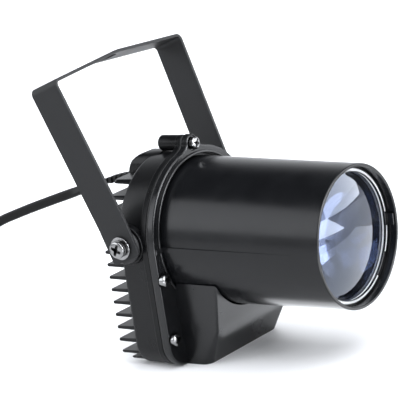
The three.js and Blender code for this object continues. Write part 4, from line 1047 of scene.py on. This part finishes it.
def cord_path():
    wound = [coil_point(i / COIL_STEPS) for i in range(round(COIL_TURNS * COIL_STEPS) + 1)]
    x, y, z = wound[-1]
    drop = PLUG_HEIGHT / 2 - z
    tail = [(x, y + COIL_LEAD_OUT * share, z + drop * smoothstep(share, *SINK_SHARES))
            for share in LEAD_SHARES]
    return spline([*CORD_ROUTE, *wound[1:], *tail], PATH_STEPS)


def make_cord(parts):
    """The flat cord: it lies flat where it leaves the lamp and turns onto its edge behind it."""
    path = cord_path()
    half = CORD_THICKNESS / 2
    flat = CORD_WIDTH / 2 - half
    section = []
    for i in range(CORD_SIDES):
        angle = 2 * math.pi * (i + 0.5) / CORD_SIDES
        up = math.sin(angle)
        section.append((half * math.cos(angle), math.copysign(flat, up) + half * up))
    rings = []
    for i, point in enumerate(path):
        ahead = (path[min(i + 1, len(path) - 1)] - path[max(i - 1, 0)]).normalized()
        side = ahead.cross(Vector((0, 0, 1))).normalized()
        up = side.cross(ahead)
        free = i < len(CORD_ROUTE) * PATH_STEPS
        turn = math.pi / 2 * (1 - smoothstep(-point.y, *CORD_TWIST)) if free else 0
        wide = up * math.cos(turn) + side * math.sin(turn)
        thick = side * math.cos(turn) - up * math.sin(turn)
        rings.append([point + thick * a + wide * b for a, b in section])
    cord = finished(loft(rings), "mains_cord", "cord_sheath", nodes=["mains_cord", "cord_coil"], sharp=60)
    return cord


def coil_tie():
    """A strap closed round one side of the coil."""
    outer = COIL_OUTER - COIL_PITCH * TIE_TURNS + CORD_THICKNESS / 2
    loops = math.floor(COIL_TURNS / 2)
    inner = outer - COIL_PITCH * (loops - 1) - CORD_THICKNESS
    near, far = inner - TIE_SIDE, outer + TIE_SIDE
    low, high = TIE_THICKNESS, COIL_BASE + COIL_RISE + CORD_WIDTH / 2 + GAP
    half = TIE_WIDTH / 2
    opening = box(near, low, far, high, TIE_ROUND)
    around = box(near - TIE_THICKNESS, 0, far + TIE_THICKNESS, high + TIE_THICKNESS,
                         TIE_ROUND + TIE_THICKNESS)
    body = cut(slab(around, -half, half, "y", FINE_EDGE, FINE_EDGE), slab(opening, -half - OVER, half + OVER))
    return moved(body, Matrix.Rotation(math.pi + 2 * math.pi * TIE_TURNS, 4, "Z"), *COIL_CENTRE, 0)


def plug_body(x, back):
    half, root = PLUG_FACE / 2, PLUG_ROOT / 2
    face, nose, shoulder = back + PLUG_LENGTH, back + PLUG_NOSE, back + PLUG_SHOULDER
    neck, bend = PLUG_BENDS
    outline = rounded([
        (x - root, back, PLUG_CORNER), (x + root, back, PLUG_CORNER), (x + root, nose, neck),
        (x + half, shoulder, bend), (x + half, face, PLUG_CORNER), (x - half, face, PLUG_CORNER),
        (x - half, shoulder, bend), (x - root, nose, neck),
    ])
    body = slab(outline, 0, PLUG_HEIGHT, "z", *PLUG_RIMS)
    sockets = both(lambda side: rod(
        PIN_RADIUS + GAP, face - PLUG_NOSE, face + OVER, (x + side * PIN_SPACING / 2, PLUG_HEIGHT / 2)))
    grips = []
    radius = GRIP_PITCH / 3
    for i in range(PLUG_GRIPS):
        y = shoulder + GRIP_START + GRIP_PITCH * i
        grips += both(lambda side: rod(
            radius, -OVER, PLUG_HEIGHT + OVER, (x + side * (half + radius - GRIP_DEPTH), y), "z", BORE_SIDES))
    return cut(body, *sockets, *grips)


def plug_pin(x, face):
    """A round pin with a rounded tip."""
    low, high = face - PLUG_NOSE + GAP, face + PIN_LENGTH
    edge, tip = PIN_ROUNDS
    profile = rounded([(0, low), (PIN_RADIUS, low, edge), (PIN_RADIUS, high, tip), (0, high)], closed=False)
    return turned(profile, (x, PLUG_HEIGHT / 2), sides=ROD_SIDES)


def cord_pieces():
    """The relief, the tie, the plug and its pins, each in its CAD node's place."""
    x = coil_point(COIL_TURNS)[0]
    back = COIL_CENTRE[1] + COIL_LEAD_OUT + GAP
    made = [
        finished(strain_relief(), "strain_relief", "cord_sheath", sharp=40),
        finished(coil_tie(), "coil_tie", "rubber"),
        finished(plug_body(x, back), "plug_body", "plug"),
    ]
    for name, side in SIDES:
        pin = plug_pin(x + side * PIN_SPACING / 2, back + PLUG_LENGTH)
        made.append(finished(pin, f"plug_pin_{name}", "nickel"))
    return made


# Materials: procedural finishes
MATERIALS = {}
GRAIN_DETAIL = 2.0
PATCH_DETAIL = 3.0
NOISE_SHARES = (0.3, 0.7)  # most of a noise's values lie between them
LINES_UNEVEN = 0.4
WAVES = 10  # of the wave texture in a length of pi


def preset(node, values):
    """Sets a node's sockets, in whose names an underscore stands for a space."""
    for name, value in values.items():
        node.inputs[name.replace("_", " ")].default_value = value
    return node


def added(tree, kind, **values):
    return preset(tree.nodes.new("ShaderNode" + kind), values)


def texture(tree, kind, **values):
    """A texture in the object's own space."""
    node = added(tree, "Tex" + kind, **values)
    tree.links.new(added(tree, "TexCoord").outputs["Object"], node.inputs["Vector"])
    return node


def noise(tree, size, detail=GRAIN_DETAIL):
    """A noise with features of about a size in millimetres."""
    return texture(tree, "Noise", Scale=1 / (size * MM), Detail=detail).outputs["Fac"]


def lines(tree, pitch, direction):
    """Fine parallel lines, such as windings."""
    node = texture(tree, "Wave", Scale=math.pi / (WAVES * pitch * MM), Distortion=LINES_UNEVEN)
    node.bands_direction = direction
    return node.outputs["Fac"]


def tones(tree, value, colour, spread):
    """A colour that runs a little darker and lighter with a noise."""
    ramp = added(tree, "ValToRGB")
    dark, light = ramp.color_ramp.elements
    dark.position, light.position = NOISE_SHARES
    dark.color = (*[c * (1 - spread) for c in colour], 1)
    light.color = (*[c * (1 + spread) for c in colour], 1)
    tree.links.new(value, ramp.inputs["Fac"])
    return ramp.outputs["Color"]


def mapped(tree, value, low, high):
    """A number that runs between two ends with a noise."""
    start, end = NOISE_SHARES
    node = added(tree, "MapRange", From_Min=start, From_Max=end, To_Min=low, To_Max=high)
    tree.links.new(value, node.inputs["Value"])
    return node.outputs["Result"]


def surface(slot, colour, rough, grain, depth, shine=0.5, patch=14.0, uneven=0.04, spread=0.12,
            winding=None, **sockets):
    """A finish: roughness, size and depth of its grain, and patches where it changes a little."""
    made = bpy.data.materials.new(slot)
    made.use_nodes = True
    tree = made.node_tree
    shader = tree.nodes["Principled BSDF"]
    wide = noise(tree, patch, PATCH_DETAIL)
    tree.links.new(tones(tree, wide, colour, spread), shader.inputs["Base Color"])
    tree.links.new(mapped(tree, wide, rough - uneven, rough + uneven), shader.inputs["Roughness"])
    bump = added(tree, "Bump", Strength=1.0, Distance=depth * MM)
    relief = lines(tree, *winding) if winding else noise(tree, grain)
    tree.links.new(relief, bump.inputs["Height"])
    tree.links.new(bump.outputs["Normal"], shader.inputs["Normal"])
    preset(shader, {"Specular IOR Level": shine, **sockets})
    MATERIALS[slot] = made


def make_materials():
    """Sizes, such as the grain's, are in millimetres."""
    surface("casting", (0.0035, 0.0037, 0.0041), 0.3, 0.55, 0.02, shine=0.14)
    surface("cover_plastic", (0.0055, 0.0058, 0.0065), 0.24, 0.4, 0.008, shine=0.29)
    surface("barrel", (0.0045, 0.0048, 0.0055), 0.23, 0.8, 0.003, uneven=0.03, shine=0.22)
    surface("strap", (0.009, 0.0093, 0.0100), 0.52, 0.7, 0.03, uneven=0.05, shine=0.22)
    surface("nickel", (0.21, 0.21, 0.21), 0.15, 0.3, 0.004, patch=3.0, Metallic=1.0)
    surface("brass", (0.55, 0.42, 0.18), 0.3, 0.3, 0.004, patch=4.0, Metallic=1.0)
    surface("rubber", (0.009, 0.009, 0.0095), 0.65, 0.5, 0.02)
    surface("silicone", (0.80, 0.81, 0.82), 0.42, 0.8, 0.008, spread=0.03)
    surface("lens_glass", (0.08, 0.10, 0.17), 0.015, 9.0, 0.004, uneven=0.008, spread=0.04,
            Transmission_Weight=0.97, IOR=1.5, shine=0.22, Specular_Tint=(0.66, 0.77, 1.0, 1))
    surface("optic", (0.85, 0.88, 0.90), 0.06, 4.0, 0.004, uneven=0.02, spread=0.03,
            Transmission_Weight=0.9, IOR=1.49)
    surface("board_white", (0.78, 0.79, 0.80), 0.4, 0.4, 0.006, spread=0.04)
    surface("board_green", (0.03, 0.16, 0.07), 0.35, 0.6, 0.01, patch=5.0, spread=0.25)
    surface("phosphor", (0.78, 0.60, 0.15), 0.5, 0.3, 0.01, patch=2.0)
    surface("copper", (0.55, 0.24, 0.10), 0.3, 0.5, 0.12, winding=(0.6, "Z"), Metallic=1.0)
    surface("ferrite", (0.05, 0.05, 0.055), 0.55, 0.4, 0.03)
    surface("sleeve", (0.02, 0.04, 0.10), 0.28, 1.5, 0.01, uneven=0.02)
    surface("terminal", (0.06, 0.30, 0.12), 0.45, 0.5, 0.01)
    surface("wire_red", (0.45, 0.02, 0.02), 0.35, 1.0, 0.01)
    surface("wire_black", (0.02, 0.02, 0.02), 0.35, 1.0, 0.01)
    surface("cord_sheath", (0.003, 0.003, 0.0034), 0.38, 0.7, 0.012, patch=25.0, shine=0.12)
    surface("plug", (0.007, 0.007, 0.0078), 0.42, 0.45, 0.012, shine=0.25)
    surface("floor", (0.92, 0.92, 0.92), 0.55, 2.0, 0.005, patch=400.0, uneven=0.03, spread=0.01)


def dress_nodes():
    """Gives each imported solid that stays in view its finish."""
    slots = {part["node"]: part["material_slot"] for part in frame["record"]["subparts"]}
    for name, node in frame["nodes"].items():
        node.data.materials.clear()
        node.data.materials.append(MATERIALS[slots[name]])


# Stage: a pale floor, a bright low surround that darkens overhead, and soft panels
FLOOR_REACH = 6.0
SURROUND = [  # height of a direction, 0 straight down and 1 straight up, and its brightness
    (0.5, 1.2), (0.68, 1.1), (0.80, 0.35), (0.86, 0.04), (1.0, 0.04),
]
TINT = (0.965, 0.99, 1.035)  # slightly cool daylight
AIM = Vector((0, -0.12, 0.07))
PANELS = {  # direction from the lens, distance, width, height, radiance, and if it lights the floor
    "overhead": ((-0.1, -0.36, 1.0), 2.0, 2.4, 2.2, 4.4, True),
    "back_left": ((-0.52, 0.71, 0.46), 2.0, 1.7, 1.2, 3.3, True),
    "front": ((0.10, -0.93, 0.32), 1.2, 1.0, 0.66, 22.0, False),
    "over_camera": ((-0.36, -0.52, 0.70), 1.5, 0.7, 0.4, 9.0, False),
    "front_right": ((0.74, -0.66, 0.09), 0.9, 0.6, 0.28, 8.0, False),
}
LOW_PANELS = {  # place, width, length, turn in degrees and radiance
    "low": ((0.30, -0.75, 0.004), 0.22, 0.75, 25, 12.5),
    "under": ((0.117, -0.165, 0.003), 0.262, 0.24, 0, 1.9),
    "near": ((-0.16, -0.24, 0.003), 0.16, 0.18, 0, 12.0),
}
FAR_PANEL = ((1.9, 1.5, 1.6), 3.2, 2.4)  # place, side and radiance: it whitens the floor far behind


def make_surround():
    world = bpy.data.worlds.new("studio")
    world.use_nodes = True
    tree = world.node_tree
    place = added(tree, "TexCoord")
    parts = added(tree, "SeparateXYZ")
    tree.links.new(place.outputs["Generated"], parts.inputs["Vector"])
    height = added(tree, "MapRange", From_Min=-1.0)
    tree.links.new(parts.outputs["Z"], height.inputs["Value"])
    ramp = added(tree, "ValToRGB")
    stops = ramp.color_ramp.elements
    stops = [*stops, *[stops.new(1.0) for _ in SURROUND[2:]]]
    for (share, level), stop in zip(SURROUND, stops):
        stop.position = share
        stop.color = (*[level * channel for channel in TINT], 1)
    tree.links.new(height.outputs["Result"], ramp.inputs["Fac"])
    tree.links.new(ramp.outputs["Color"], tree.nodes["Background"].inputs["Color"])
    bpy.context.scene.world = world


def panel(name, wide, high, radiance, place, lights_floor):
    data = bpy.data.lights.new(name, "AREA")
    data.shape = "RECTANGLE"
    data.size, data.size_y = wide, high
    data.energy = radiance * math.pi * wide * high
    data.color = TINT
    light = linked(name, data)
    light.matrix_world = place
    light.visible_camera = False
    light.visible_diffuse = lights_floor
    return light


def make_panels():
    """Soft panels aimed at the lens, and some that lie on the floor and only show in gloss."""
    for name, (way, distance, wide, high, radiance, lights_floor) in PANELS.items():
        way = Vector(way).normalized()
        place = Matrix.Translation(AIM + way * distance) @ way.to_track_quat("Z", "Y").to_matrix().to_4x4()
        panel(name, wide, high, radiance, place, lights_floor)
    for name, (place, wide, long, turn, radiance) in LOW_PANELS.items():
        upward = spin(turn, "Z") @ spin(180, "X")
        panel(name, wide, long, radiance, Matrix.Translation(place) @ upward, False)
    place, side, radiance = FAR_PANEL
    panel("far", side, side, radiance, Matrix.Translation(place), True).visible_glossy = False


def make_stage():
    floor_mesh = bpy.data.meshes.new("floor")
    r = FLOOR_REACH
    floor_mesh.from_pydata([(-r, -r, 0), (r, -r, 0), (r, r, 0), (-r, r, 0)], [], [(0, 1, 2, 3)])
    floor = linked("floor", floor_mesh)
    floor.data.materials.append(MATERIALS["floor"])
    make_surround()
    make_panels()
    bpy.context.scene.view_settings.view_transform = "Standard"


make_camera()
make_materials()
dress_nodes()
make_cord(cord_pieces())
finished(rear_housing(), "rear_housing", "casting")
finished(cover_gasket(), "cover_gasket", "rubber")
finished(front_cover(), "front_cover", "cover_plastic")
finished(lens_barrel(), "lens_barrel", "barrel")
finished(leant(main_lens()), "main_lens", "lens_glass", sharp=50)
finished(leant(lens_gasket()), "lens_gasket", "silicone")
finished(leant(lens_retaining_ring()), "lens_retaining_ring", "cover_plastic")
finished(yoke(), "yoke", "strap", body="yoke")
cover_screws()
pivots()
make_stage()
